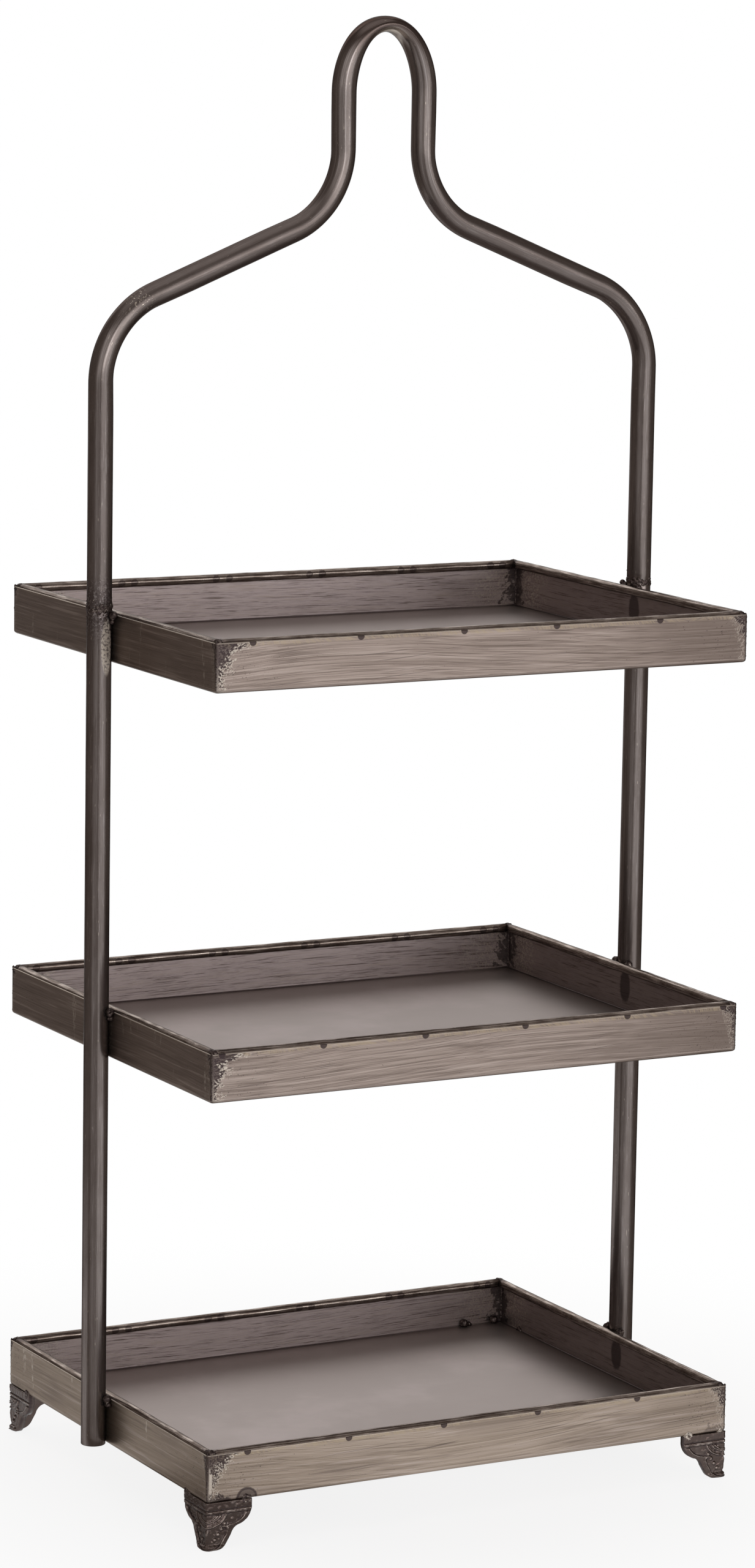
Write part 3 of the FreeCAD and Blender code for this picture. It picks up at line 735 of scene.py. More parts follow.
def trace(x, z, heading, stretches, flattening):
    """Stations of a tube's axis in the XZ plane: x, z, heading, distance run and outward flattening."""
    run = 0.0
    stations = [(x, z, heading, run, 0.0)]
    for distance, turn in stretches:
        steps = math.ceil(distance / (BEND_STEP if turn else STATION_STEP))
        step, swing = distance / steps, turn / steps
        chord = step if not turn else 2 * (step / abs(swing)) * math.sin(abs(swing) / 2)
        squeeze = -math.copysign(flattening, turn) if turn else 0.0
        for _ in range(steps):
            heading += swing / 2
            x += chord * math.cos(heading)
            z += chord * math.sin(heading)
            heading += swing / 2
            run += step
            stations.append((x, z, heading, run, squeeze))
    return stations


def arch_stretches(sizes):
    """Straight runs and bends of the arch's left half, from the joint up to where the loop begins."""
    turn = math.pi / 2 - sizes.run_angle
    setback = math.tan(turn / 2)
    loop_z = STAND_TOP - sizes.tube_diameter / 2 - sizes.loop_radius
    neck_z = loop_z - sizes.neck_drop
    inwards = POST_X - sizes.loop_radius
    shoulder_z = neck_z - inwards * math.tan(sizes.run_angle)
    leg = shoulder_z - JOINT_Z - sizes.shoulder_radius * setback
    slope = inwards / math.cos(sizes.run_angle) - (sizes.shoulder_radius + sizes.neck_radius) * setback
    neck = sizes.neck_drop - sizes.neck_radius * setback - (sizes.loop_rise - sizes.loop_radius)
    return [
        (leg, 0.0),
        (sizes.shoulder_radius * turn, -turn),
        (slope, 0.0),
        (sizes.neck_radius * turn, turn),
        (neck, 0.0),
    ]


def arch_stations(sizes):
    """Stations of the whole arch, with its loop as half an ellipse, pressed flat towards the crown."""
    rising = trace(-POST_X, JOINT_Z, math.pi / 2, arch_stretches(sizes), sizes.bend_flattening)
    _, loop_z, _, run, _ = rising[-1]
    wide, tall = sizes.loop_radius, sizes.loop_rise
    loop = []
    for angle in np.linspace(0.0, math.pi, LOOP_STEPS + 1)[1:-1]:
        run += math.hypot(wide * math.sin(angle), tall * math.cos(angle)) * math.pi / LOOP_STEPS
        heading = math.atan2(tall * math.cos(angle), wide * math.sin(angle))
        squeeze = sizes.crown_flattening * math.sin(angle) ** 3
        loop.append((-wide * math.cos(angle), loop_z + tall * math.sin(angle), heading, run, squeeze))
    full = run + rising[-1][3]
    falling = [(-x, z, -heading, full - here, squeeze) for x, z, heading, here, squeeze in reversed(rising)]
    return rising + loop + falling


def evened(values, reach):
    """Values averaged over their neighbours on both sides."""
    padded = np.pad(np.array(values, dtype=float), reach, mode="edge")
    return np.convolve(padded, np.ones(2 * reach + 1) / (2 * reach + 1), mode="valid")


def make_tube_mesh(name, stations, sizes, seed):
    """Hollow tube along its stations, a little flattened in the bends, with its own coordinates."""
    outward = evened([station[4] for station in stations], 3)
    outer, inner, coordinates = [], [], []
    radius = sizes.tube_diameter / 2
    for index, (x, z, heading, run, _) in enumerate(stations):
        side = Vector((-math.sin(heading), 0.0, math.cos(heading)))
        centre = Vector((x, 0.0, z)) + side * radius * outward[index]
        narrow, wide = 1 - abs(outward[index]), 1 + BULGE * abs(outward[index])
        cut = END_CHAMFER if index in (0, len(stations) - 1) else 0.0
        ring_out, ring_in = [], []
        for step in range(TUBE_SIDES):
            angle = 2 * math.pi * step / TUBE_SIDES
            out = side * (math.cos(angle) * narrow) + Vector((0.0, math.sin(angle) * wide, 0.0))
            dent = TUBE_DENT * wander(seed, run * 40, math.cos(angle), math.sin(angle))
            ring_out.append(centre + out * (radius + dent - cut))
            ring_in.append(centre + out * (radius - sizes.tube_wall))
            coordinates.append((run + seed, math.cos(angle) * radius, math.sin(angle) * radius))
        outer.append(ring_out)
        inner.append(ring_in)
    mesh = skin_rings(name, outer + inner[::-1])
    rows = [coordinates[start:start + TUBE_SIDES] for start in range(0, len(coordinates), TUBE_SIDES)]
    run_around = np.array(rows + rows[::-1], dtype=np.float32).ravel()
    mesh.attributes.new("tube_coord", "FLOAT_VECTOR", "POINT").data.foreach_set("vector", run_around)
    return mesh


def end_chamfer_stations(stations):
    """Stations with one more close to each end, where the chamfer stops."""
    first, last = stations[0], stations[-1]

    def moved(station, way):
        x, z, heading, run, squeeze = station
        step = way * CHAMFER_RUN
        return (x + step * math.cos(heading), z + step * math.sin(heading), heading, run + step, squeeze)

    return [first, moved(first, 1)] + stations[1:-1] + [moved(last, -1), last]


def build_tubes(sizes):
    """Handle arch and the two posts."""
    arch = end_chamfer_stations(arch_stations(sizes))
    mesh = make_tube_mesh("arch_tube", arch, sizes, seed=1)
    stand_in("arch_tube", mesh, "tube_steel", ["handle_arch"], "tube")
    for seed, (side, way) in enumerate(SIDES.items(), start=2):
        upright = trace(way * POST_X, POST_FOOT, math.pi / 2, [(JOINT_Z - POST_FOOT, 0.0)], 0.0)
        post = end_chamfer_stations(upright)
        mesh = make_tube_mesh(f"{side}_post_tube", post, sizes, seed)
        stand_in(f"{side}_post_tube", mesh, "tube_steel", [f"{side}_post"], "tube")


SHEET_STEP = 6 * MM
GUARD = 0.3 * MM
CORNER_STEPS = 5
RIM_EDGE = 0.3 * MM
WAVE_FADE = 40 * MM
FLOOR_BOW = 0.3 * MM
BOW_FADE = 60 * MM
PAN_SEED = 11
PAN_FINISHES = ("outer_wall", "inner_wall", "tray_floor")


def tray_ring(inset, corner, height):
    """Points around a tray at an inset from its outside, with rounded corners, at a height."""
    half_x, half_y = HALF_WIDTH - inset, HALF_DEPTH - inset
    steps_x, steps_y = round(2 * HALF_WIDTH / SHEET_STEP), round(2 * HALF_DEPTH / SHEET_STEP)
    corner = min(corner, half_x, half_y)
    points = []
    for quarter, (_, side_x, side_y) in enumerate(CORNERS):
        centre = Vector((side_x * (half_x - corner), side_y * (half_y - corner), height))
        for step in range(CORNER_STEPS):
            angle = math.pi + (quarter + step / (CORNER_STEPS - 1)) * math.pi / 2
            points.append(centre + Vector((math.cos(angle), math.sin(angle), 0.0)) * corner)
        _, next_x, next_y = CORNERS[(quarter + 1) % len(CORNERS)]
        ahead = Vector((next_x * (half_x - corner), next_y * (half_y - corner), height))
        turn = math.pi + (quarter + 1) * math.pi / 2
        outwards = Vector((math.cos(turn), math.sin(turn), 0.0)) * corner
        steps = steps_x if quarter % 2 == 0 else steps_y
        guard = GUARD / (ahead - centre).length
        for part in np.linspace(guard, 1 - guard, steps):
            points.append(centre.lerp(ahead, part) + outwards)
    return points


def wave_wall(point, height, sizes, seed):
    """Push a point of a wall or rod in or out by the sheet's slow wave, which fades at the corners."""
    gap_x, gap_y = HALF_WIDTH - abs(point.x), HALF_DEPTH - abs(point.y)
    fade = min(1.0, max(gap_x, gap_y) / WAVE_FADE) * min(1.0, height / WALL_HEIGHT)
    if gap_x < gap_y:
        push = wander(seed, point.y * 14, 3.0 * math.copysign(1, point.x), height * 10)
        point.x += push * sizes.sheet_wave * fade
    else:
        push = wander(seed, point.x * 14, 7.0 * math.copysign(1, point.y), height * 10)
        point.y += push * sizes.sheet_wave * fade
    return point


def pan_profile(sizes):
    """Rings of a pan from the middle of its underside over the rim to the middle of its floor.

    Each is an inset, a height, a corner radius and the finish of the strip that follows it.
    """
    thick, fold = sizes.sheet_thickness, sizes.fold_radius
    outside, inside, floor = range(len(PAN_FINISHES))
    deepest = HALF_DEPTH - 2 * MM
    inner_fold = fold - thick
    inner_corner = max(sizes.corner_radius - thick, RIM_EDGE)
    profile = [(inset, 0.0, inner_corner, floor) for inset in np.linspace(deepest, 2 * fold, 8)]
    for angle in np.linspace(0.0, math.pi / 2, 6):
        inset, height = fold * (1 - math.sin(angle)), fold * (1 - math.cos(angle))
        profile.append((inset, height, sizes.corner_radius, outside))
    for height in np.linspace(fold + GUARD, WALL_HEIGHT - RIM_EDGE - GUARD, 8):
        profile.append((0.0, height, sizes.corner_radius, outside))
    profile.append((0.0, WALL_HEIGHT - RIM_EDGE, sizes.corner_radius, outside))
    profile.append((RIM_EDGE, WALL_HEIGHT, sizes.corner_radius, outside))
    profile.append((thick - RIM_EDGE, WALL_HEIGHT, inner_corner, inside))
    for height in np.linspace(WALL_HEIGHT - RIM_EDGE, fold + GUARD, 8):
        profile.append((thick, height, inner_corner, inside))
    for angle in np.linspace(math.pi / 2, 0.0, 5):
        inset = thick + inner_fold * (1 - math.sin(angle))
        profile.append((inset, thick + inner_fold * (1 - math.cos(angle)), inner_corner, inside))
    for inset in np.linspace(thick + 2 * inner_fold, deepest, 26):
        profile.append((inset, thick, inner_corner, floor))
    return profile


def build_pans(sizes):
    """Three folded trays."""
    for seed, tier in enumerate(TIERS, start=PAN_SEED):
        rings, tones = [], []
        for inset, height, corner, tone in pan_profile(sizes):
            ring = tray_ring(inset, corner, FLOOR_LEVEL[tier] + height)
            ring = [wave_wall(point, height, sizes, seed) for point in ring]
            if height <= sizes.sheet_thickness and inset > 2 * sizes.fold_radius:
                for point in ring:
                    bow = min(1.0, inset / BOW_FADE)
                    point.z += FLOOR_BOW * bow * wander(seed, point.x * 9, point.y * 9, 5.0)
            rings.append(ring)
            tones.append(tone)
        mesh = skin_rings(f"{tier}_tray", rings, caps=True, tones=tones)
        stand_in(f"{tier}_tray", mesh, "tray_sheet", [f"{tier}_pan"], *PAN_FINISHES)


ROD_SIDES = 20
ROD_SWELL = 0.05
ROD_SEED = 30


def make_rod_mesh(name, tier, quarter, sizes, seed):
    """Rim rod along one side, mitred at both ends, with the wall's wave and a wandering surface."""
    along_x = quarter % 2 == 0
    half_along = (HALF_WIDTH if along_x else HALF_DEPTH) - sizes.sheet_thickness
    half_across = (HALF_DEPTH if along_x else HALF_WIDTH) - sizes.sheet_thickness
    radius = sizes.rod_diameter / 2
    turn = Matrix.Rotation(quarter * math.pi / 2, 3, "Z")
    steps = round(2 * half_along / SHEET_STEP)
    rings = []
    for index in range(steps + 1):
        part = 2 * index / steps - 1
        ring = []
        for step in range(ROD_SIDES):
            angle = 2 * math.pi * step / ROD_SIDES
            swell = 1 + ROD_SWELL * wander(seed, part * 30, math.cos(angle), math.sin(angle))
            out, up = math.cos(angle) * radius * swell, math.sin(angle) * radius * swell
            reach = half_along - radius + math.cos(angle) * radius
            point = turn @ Vector((part * reach, -(half_across - radius) - out, ROD_LIFT + up))
            point = wave_wall(point, WALL_HEIGHT, sizes, seed=PAN_SEED + TIERS.index(tier))
            point.z += FLOOR_LEVEL[tier] + sizes.rod_wave * wander(seed, part * 6, 2.0, 1.0)
            ring.append(point)
        rings.append(ring)
    return skin_rings(name, rings, caps=True)


def build_rims(sizes):
    """Four rim rods on every tray."""
    for tier in TIERS:
        for quarter, side in enumerate(("front", "right", "back", "left")):
            seed = ROD_SEED + TIERS.index(tier) * 4 + quarter
            name = f"{tier}_{side}_rim"
            mesh = make_rod_mesh(name, tier, quarter, sizes, seed)
            stand_in(name, mesh, "rim_rod", [f"{tier}_{side}_rod"], "rod")


def drop(centre, size, tall=1.0):
    """Drop of weld metal: its centre and three radii."""
    return centre, (size, size, tall * size)


def scatter(chance, *ranges):
    """Random offset from three ranges in millimetres."""
    return Vector([chance.uniform(low, high) for low, high in ranges]) * MM


def melt(name, drops, sizes, voxel=0.35 * MM):
    """Mesh of weld metal: drops, each a centre and three radii, run into one skin and roughened."""
    heap = bmesh.new()
    for centre, radii in drops:
        place = Matrix.LocRotScale(Vector(centre), None, Vector(radii))
        bmesh.ops.create_icosphere(heap, subdivisions=3, radius=1.0, matrix=place)
    mesh = bpy.data.meshes.new(name)
    heap.to_mesh(mesh)
    heap.free()
    carrier = bpy.data.objects.new(f"{name}_heap", mesh)
    bpy.context.scene.collection.objects.link(carrier)
    join = carrier.modifiers.new("join", "REMESH")
    join.mode = "VOXEL"
    join.voxel_size = voxel
    relax = carrier.modifiers.new("relax", "SMOOTH")
    relax.iterations = 3
    depsgraph = bpy.context.evaluated_depsgraph_get()
    melted = bpy.data.meshes.new_from_object(carrier.evaluated_get(depsgraph))
    bpy.data.objects.remove(carrier)
    bpy.data.meshes.remove(mesh)
    melted.name = name
    normals = [vertex.normal.copy() for vertex in melted.vertices]
    for vertex, normal in zip(melted.vertices, normals):
        vertex.co += normal * sizes.weld_grain * wander(50, *(vertex.co * 900))
    melted.shade_smooth()
    return melted


SEAM_INSET = 1.0 * MM
SEAM_DROPS = 19
MITRE_INSET = 3.8 * MM
MITRE_LUMP = (2.9 * MM, 2.9 * MM, 2.4 * MM)
MITRE_SINK = Vector((0, 0, 2.2 * MM))


def build_corner_welds(sizes):
    """Seam up every tray corner, and a lump over the mitred rods on top of it."""
    for tier in TIERS:
        chance = random.Random(f"{tier} corners")
        drops = []
        base = FLOOR_LEVEL[tier]
        rim_top = base + ROD_LIFT + sizes.rod_diameter / 2
        for _, side_x, side_y in CORNERS:
            edge = Vector((side_x * (HALF_WIDTH - SEAM_INSET), side_y * (HALF_DEPTH - SEAM_INSET), 0.0))
            foot = base + sizes.fold_radius + 0.6 * MM
            for height in np.linspace(foot, base + WALL_HEIGHT, SEAM_DROPS):
                size = chance.uniform(0.75, 1.0) * MM
                shake = Vector((chance.uniform(-0.1, 0.1) * MM, chance.uniform(-0.1, 0.1) * MM, height))
                drops.append(drop(edge + shake, size, tall=1.4))
            across, back = HALF_WIDTH - MITRE_INSET, HALF_DEPTH - MITRE_INSET
            mitre = Vector((side_x * across, side_y * back, rim_top))
            drops.append((mitre - MITRE_SINK, MITRE_LUMP))
            for _ in range(4):
                aside = scatter(chance, (-2, 2), (-2, 2), (-2.2, -1.2))
                drops.append(drop(mitre + aside, chance.uniform(1.2, 1.8) * MM))
        mesh = melt(f"{tier}_corner_seams", drops, sizes)
        stand_in(f"{tier}_corner_seams", mesh, "weld_metal", [f"{tier}_corner_welds"], "seam")


BEAD_SINK = 0.7 * MM


def build_post_welds(sizes):
    """Beads at rim height in the corners between posts and tray walls."""
    off = sizes.bead_radius - BEAD_SINK
    tube = sizes.tube_diameter / 2
    reach = math.sqrt((tube + off) ** 2 - (tube - off) ** 2)
    for tier in TIERS:
        chance = random.Random(f"{tier} posts")
        drops = []
        for side, way in (("left", -1), ("right", -1), ("right", 1)):
            x, y = SIDES[side] * (HALF_WIDTH + off), way * reach
            top = Vector((x, y, FLOOR_LEVEL[tier] + WALL_HEIGHT))
            size = sizes.bead_radius
            drops.append((top, (size * 0.92, size * 0.92, size)))
            for _ in range(6):
                aside = scatter(chance, (-1.6, 1.2), (-1.8, 1.8), (-4.5, 2.4))
                drops.append(drop(top + aside, chance.uniform(0.9, 1.9) * MM))
        mesh = melt(f"{tier}_post_beads", drops, sizes)
        stand_in(f"{tier}_post_beads", mesh, "weld_metal", [f"{tier}_post_welds"], "weld")


RING_DROPS = 52
SPATTER_DROPS = 120
DRESSED_ROUGHNESS = 0.15


def build_joint_welds(sizes):
    """Ring of weld around each joint of arch and post, rough on the left and dressed on the right."""
    tube = sizes.tube_diameter / 2
    for side, way in SIDES.items():
        chance = random.Random(f"{side} joint")
        rough = 1.0 if side == "left" else DRESSED_ROUGHNESS
        drops = []
        rise = RING_SIZE.x / 2 - tube
        for step in range(RING_DROPS):
            angle = 2 * math.pi * step / RING_DROPS
            size = chance.uniform(1.8, 2.6) * MM
            out = tube + rise * (0.6 + 0.4 * rough * chance.uniform(-1.0, 1.0)) - size
            height = JOINT_Z + chance.uniform(-0.3, 0.3) * RING_SIZE.z
            place = (way * POST_X + out * math.cos(angle), out * math.sin(angle), height)
            drops.append(drop(place, size))
        for _ in range(int(SPATTER_DROPS * rough)):
            angle = chance.uniform(0, 2 * math.pi)
            size = chance.uniform(0.4, 0.95) * MM
            height = JOINT_Z + chance.gauss(-1.0, 6.0) * MM
            out = tube - 0.5 * size
            place = (way * POST_X + out * math.cos(angle), out * math.sin(angle), height)
            drops.append(drop(place, size))
        mesh = melt(f"{side}_joint_ring", drops, sizes, voxel=0.3 * MM)
        stand_in(f"{side}_joint_ring", mesh, "weld_metal", [f"{side}_joint_weld"], "weld")


# Outline of a foot's leaf in millimetres: along the wall from the corner, and up from the floor
TOE_END = (8.0, 0.0)
TOE_SIDE = (14.0, 3.6)
WAIST = (17.5, 9.5)
EAR = (22.5, 15.0)
LEAF_END = (32.0, 25.5)
TOE_RADIUS = 9.0
WAIST_RADIUS = 8.0
EAR_RADIUS = 12.0
LEAF_COLUMNS = 70
LEAF_ROWS = 96

# Relief of a leaf in millimetres: foot of the top moulding, swags as half widths and drops, and pearls
MOULDING_FOOT = 23.2
SWAG_TOP = 24.0
INNER_SWAG = (11.0, 6.3)
OUTER_SWAG = (15.0, 9.6)
PEARLS = 4
PEARL_RADIUS = 1.35
CAST_ROUGHNESS = 0.24

# Toe of a leaf in millimetres: top and end of its lip, rounding of its sole, and the corner's radii
LIP_TOP = 3.3
LIP_END = 11.0
SOLE_HEIGHT = 1.5
SOLE_DEPTH = 1.6
CORNER_RADIUS = 1.2
TOE_CORNER_RADIUS = 3.4
TOE_HEIGHT = 12.0


def arc_along(height, begin, end, radius, way):
    """Distance along the wall of an arc between two points, bulging outwards where way is 1."""
    chord_x, chord_z = end[0] - begin[0], end[1] - begin[1]
    chord = math.hypot(chord_x, chord_z)
    off = way * math.sqrt(radius**2 - chord**2 / 4) / chord
    centre_x = (begin[0] + end[0]) / 2 - chord_z * off
    centre_z = (begin[1] + end[1]) / 2 + chord_x * off
    return centre_x + way * np.sqrt(np.maximum(radius**2 - (height - centre_z) ** 2, 0.0))


def leaf_reach(height):
    """Length of a leaf along the wall at heights above the floor, in millimetres."""
    slope = (WAIST[0] - TOE_SIDE[0]) / (WAIST[1] - TOE_SIDE[1])
    return np.select(
        [height <= TOE_SIDE[1], height <= WAIST[1], height <= EAR[1], height <= LEAF_END[1]],
        [
            arc_along(height, TOE_END, TOE_SIDE, TOE_RADIUS, 1),
            TOE_SIDE[0] + (height - TOE_SIDE[1]) * slope,
            arc_along(height, WAIST, EAR, WAIST_RADIUS, -1),
            arc_along(height, EAR, LEAF_END, EAR_RADIUS, 1),
        ],
        LEAF_END[0],
    )


def climb(value, edge, soft):
    """Smooth step up past an edge."""
    return 1.0 / (1.0 + np.exp(-(value - edge) / soft))


def ridge(value, centre, width):
    """Rounded ridge along a centre."""
    return np.exp(-(((value - centre) / width) ** 2))


def cast_relief(along, height, rim):
    """Height of the relief over a leaf for places in millimetres and their distance to the outline."""
    below = climb(-height, -MOULDING_FOOT, 0.15)
    fascia = 0.8 * climb(height, 23.4, 0.15) - 0.7 * ridge(height, 26.0, 0.4)
    inner_swag = (np.hypot(along / INNER_SWAG[0], (SWAG_TOP - height) / INNER_SWAG[1]) - 1.0) * 8.0
    outer_swag = (np.hypot(along / OUTER_SWAG[0], (SWAG_TOP - height) / OUTER_SWAG[1]) - 1.0) * 11.0
    swag = 0.4 * climb(-outer_swag, 0.0, 0.15) + 0.2 * climb(-inner_swag, 0.0, 0.15)
    for offset in (inner_swag + 0.6, inner_swag + 2.0, outer_swag + 0.8):
        swag += 0.6 * ridge(offset, 0.0, 0.42) - 0.3 * ridge(offset, 0.9, 0.35)
    border = 0.7 * climb(-rim, -3.9, 0.2) + 0.45 * ridge(rim, 3.3, 0.5) - 0.4 * ridge(rim, 4.6, 0.4)
    relief = np.maximum(fascia, below * np.maximum(border, swag))
    relief -= 0.9 * np.exp(-rim / 0.5) + 0.5 * ridge(height, MOULDING_FOOT, 0.3)
    for part in np.linspace(0.15, 1.0, PEARLS):
        off = np.hypot(along - (14.0 - 8.0 * part), height - (18.5 - 11.5 * part)) / PEARL_RADIUS
        relief = np.maximum(relief, 0.9 * np.sqrt(np.maximum(1.0 - off**2, 0.0)))
    pillar = ridge(along, 0.0, 2.6) * climb(height, 5.2, 0.3) * climb(-height, -13.4, 0.3)
    return relief + 0.55 * pillar - 0.4


def blurred(grid):
    """Grid averaged over its neighbourhood."""
    for axis in (0, 1):
        grid = sum(np.roll(grid, shift, axis) for shift in range(-4, 5)) / 9
    return grid


def make_foot_mesh(name, corner, sizes):
    """Two-leaved cast foot, drawn for the front left corner and turned to its own."""
    rows = (np.linspace(0.0, 1.0, LEAF_ROWS) ** 1.25) * FOOT_HEIGHT / MM
    parts = np.linspace(0.0, 1.0, LEAF_COLUMNS)
    reach = leaf_reach(rows)
    slope = np.gradient(reach, rows)
    along = parts[None, :] * reach[:, None]
    height = np.repeat(rows[:, None], LEAF_COLUMNS, axis=1)
    rim = (reach[:, None] - along) / np.hypot(1.0, slope)[:, None]
    relief = cast_relief(along, height, rim) * sizes.relief_depth / MM
    for row, column in np.ndindex(relief.shape):
        place = (along[row, column] * 0.5, height[row, column] * 0.5, corner * 3.0)
        relief[row, column] += CAST_ROUGHNESS * wander(70, *place)
    lip = sizes.lip_flare / MM * climb(-height, -LIP_TOP, 0.22) * climb(-along, -LIP_END, 1.2)
    sole = SOLE_DEPTH * np.maximum(1.0 - height / SOLE_HEIGHT, 0.0) ** 2
    out = relief + lip - sole
    crest = np.clip((relief - blurred(relief)) * 2.2, -1.0, 1.0)

    widening = np.clip(1.0 - height / TOE_HEIGHT, 0.0, 1.0)
    turning = CORNER_RADIUS + (TOE_CORNER_RADIUS - CORNER_RADIUS) * widening
    angle = np.where(along < turning, (1.0 - along / turning) * math.pi / 4, 0.0)
    rounded = along < turning
    front_x = np.where(rounded, turning - (turning + out) * np.sin(angle), along)
    front_y = np.where(rounded, turning - (turning + out) * np.cos(angle), -out)
    thick = sizes.leaf_thickness / MM
    back = thick + parts[None, :] * np.maximum(reach[:, None] - thick, 0.1)

    place = Matrix.Translation((CORNERS[corner][1] * HALF_WIDTH, CORNERS[corner][2] * HALF_DEPTH, 0.0))
    place = place @ Matrix.Rotation(corner * math.pi / 2, 4, "Z")
    rings, crests = [], []
    for row in range(LEAF_ROWS):
        level = rows[row]
        ring = [(front_x[row, c], front_y[row, c], level) for c in range(LEAF_COLUMNS - 1, -1, -1)]
        ring += [(front_y[row, c], front_x[row, c], level) for c in range(1, LEAF_COLUMNS)]
        ring += [(thick, back[row, c], level) for c in range(LEAF_COLUMNS - 1, -1, -1)]
        ring += [(back[row, c], thick, level) for c in range(1, LEAF_COLUMNS)]
        rings.append([place @ (Vector(point) * MM) for point in ring])
        worn = np.concatenate([crest[row, ::-1], crest[row, 1:]])
        crests.append(np.concatenate([worn, np.zeros_like(worn)]))
    mesh = skin_rings(name, rings, caps=True)
    values = np.concatenate(crests).astype(np.float32)
    mesh.attributes.new("crest", "FLOAT", "POINT").data.foreach_set("value", values)
    return mesh


def build_feet(sizes):
    """Four cast feet under the corners of the bottom tray."""
    for corner, (place, _, _) in enumerate(CORNERS):
        mesh = make_foot_mesh(f"{place}_cast_foot", corner, sizes)
        stand_in(f"{place}_cast_foot", mesh, "cast_foot", [f"{place}_foot"], "casting")


TACK_DROPS = 10
TACK_DEPTH = 1.2 * MM
PALE_DROPS = 12
PALE_LUMP = Vector((HALF_WIDTH - 4 * MM, 1.0 * MM - HALF_DEPTH, FOOT_HEIGHT))
INSIDE_BEADS = (HALF_WIDTH - 8 * MM, HALF_WIDTH - 32 * MM)


def build_foot_welds(sizes):
    """Tacks that hold the feet, a pale lump at the front right and two beads inside at the back right."""
    chance = random.Random("foot tacks")
    drops = []
    for _, side_x, side_y in CORNERS:
        for x, y, flat_x in (
            (HALF_WIDTH - TACK_INSET, HALF_DEPTH - TACK_DEPTH, False),
            (HALF_WIDTH - TACK_DEPTH, HALF_DEPTH - TACK_INSET, True),
        ):
            centre = Vector((side_x * x, side_y * y, FOOT_HEIGHT))
            for step in range(TACK_DROPS):
                angle = 2 * math.pi * step / TACK_DROPS
                sideways = Vector((0.0, 1.0, 0.0)) if flat_x else Vector((1.0, 0.0, 0.0))
                aside = sideways * math.cos(angle) + Vector((0.0, 0.0, math.sin(angle)))
                size = chance.uniform(1.5, 2.1) * MM
                drops.append(drop(centre + aside * chance.uniform(1.7, 2.3) * MM, size))
    for _ in range(PALE_DROPS):
        spread = scatter(chance, (-1.6, 1.6), (-0.3, 0.6), (-3.0, 2.6))
        drops.append(drop(PALE_LUMP + spread, chance.uniform(1.1, 1.7) * MM))
    off = sizes.bead_radius - BEAD_SINK
    wall = HALF_DEPTH - sizes.sheet_thickness - off
    low = FOOT_HEIGHT + sizes.sheet_thickness + off
    for x in INSIDE_BEADS:
        bead = Vector((x, wall, low))
        drops.append(drop(bead, sizes.bead_radius))
        for _ in range(4):
            aside = scatter(chance, (-2.4, 2.4), (-0.5, 1.2), (-1.5, 1.8))
            drops.append(drop(bead + aside, chance.uniform(1.0, 1.7) * MM))
    mesh = melt("foot_tacks", drops, sizes)
    stand_in("foot_tacks", mesh, "weld_metal", ["foot_welds"], "weld")


# The photograph's camera: place in metres, turn from +Y towards +X, drop below level, roll and lens
CAMERA_PLACE = Vector((-1.5790, -2.9496, 0.9973))
CAMERA_TURN = math.radians(28.209)
CAMERA_DROP = math.radians(9.271)
CAMERA_ROLL = math.radians(0.928)
CAMERA_LENS = 119.34
CAMERA_SENSOR = 36.0
FLOOR_HALF = 200.0


def build_camera():
    """Camera at the photograph's angle."""
    data = bpy.data.cameras.new("photo_camera")
    data.sensor_fit = "VERTICAL"
    data.sensor_width = CAMERA_SENSOR
    data.sensor_height = CAMERA_SENSOR
    data.lens = CAMERA_LENS
    data.clip_end = 4 * FLOOR_HALF
    camera = bpy.data.objects.new("photo_camera", data)
    bpy.context.scene.collection.objects.link(camera)
    level = math.cos(CAMERA_DROP)
    ahead = Vector((level * math.sin(CAMERA_TURN), level * math.cos(CAMERA_TURN), -math.sin(CAMERA_DROP)))
    right = ahead.cross(Vector((0, 0, 1))).normalized()
    up = right.cross(ahead)
    right, up = (
        right * math.cos(CAMERA_ROLL) + up * math.sin(CAMERA_ROLL),
        up * math.cos(CAMERA_ROLL) - right * math.sin(CAMERA_ROLL),
    )
    turn = Matrix((right, up, -ahead)).transposed()
    camera.matrix_world = Matrix.Translation(CAMERA_PLACE) @ turn.to_4x4()
    bpy.context.scene.camera = camera


# Softness of a panel's edges in degrees
PANEL_EDGE = 6.0


class LightPanel(NamedTuple):
    """Soft panel of the studio, its bearing from +Y towards +X and its other angles in degrees."""

    bearing: float
    half_width: float
    low: float
    high: float
    level: float
    low_edge: float = PANEL_EDGE


BACKDROP = LightPanel(bearing=16, half_width=32, low=13, high=48, level=1.4, low_edge=11.0)
KEY = LightPanel(bearing=176, half_width=21, low=-12, high=22, level=2.0)
KEY_STRIP = LightPanel(bearing=197, half_width=5, low=-12, high=22, level=2.0)
LOW_KEY = LightPanel(bearing=149, half_width=9, low=-12, high=12, level=2.8)
FILL = LightPanel(bearing=232, half_width=20, low=-12, high=40, level=0.7)

# Panel overhead: degrees from straight up over which it begins, and its level
OVERHEAD = (38, 24)
OVERHEAD_LEVEL = 0.6
WHITE = (1.0, 1.0, 1.0)

# What metal mirrors of the floor: bearings and half widths near the stand, and distances and levels
NEAR_FLOOR = ((328, 58), (168, 40))
NEAR_REACH = (1.3, 0.4)
NEAR_LEVEL = 0.8
LOW_KEY_REACH = (5.0, 4.2)
FILL_SHARE = 0.3

# Share of white in the floor that the camera sees, from the stand outwards, so that its shadow stays
SHADOW_REACH = (0.1, 0.6)
SHADOW_SHARES = (0.85, 1.0)


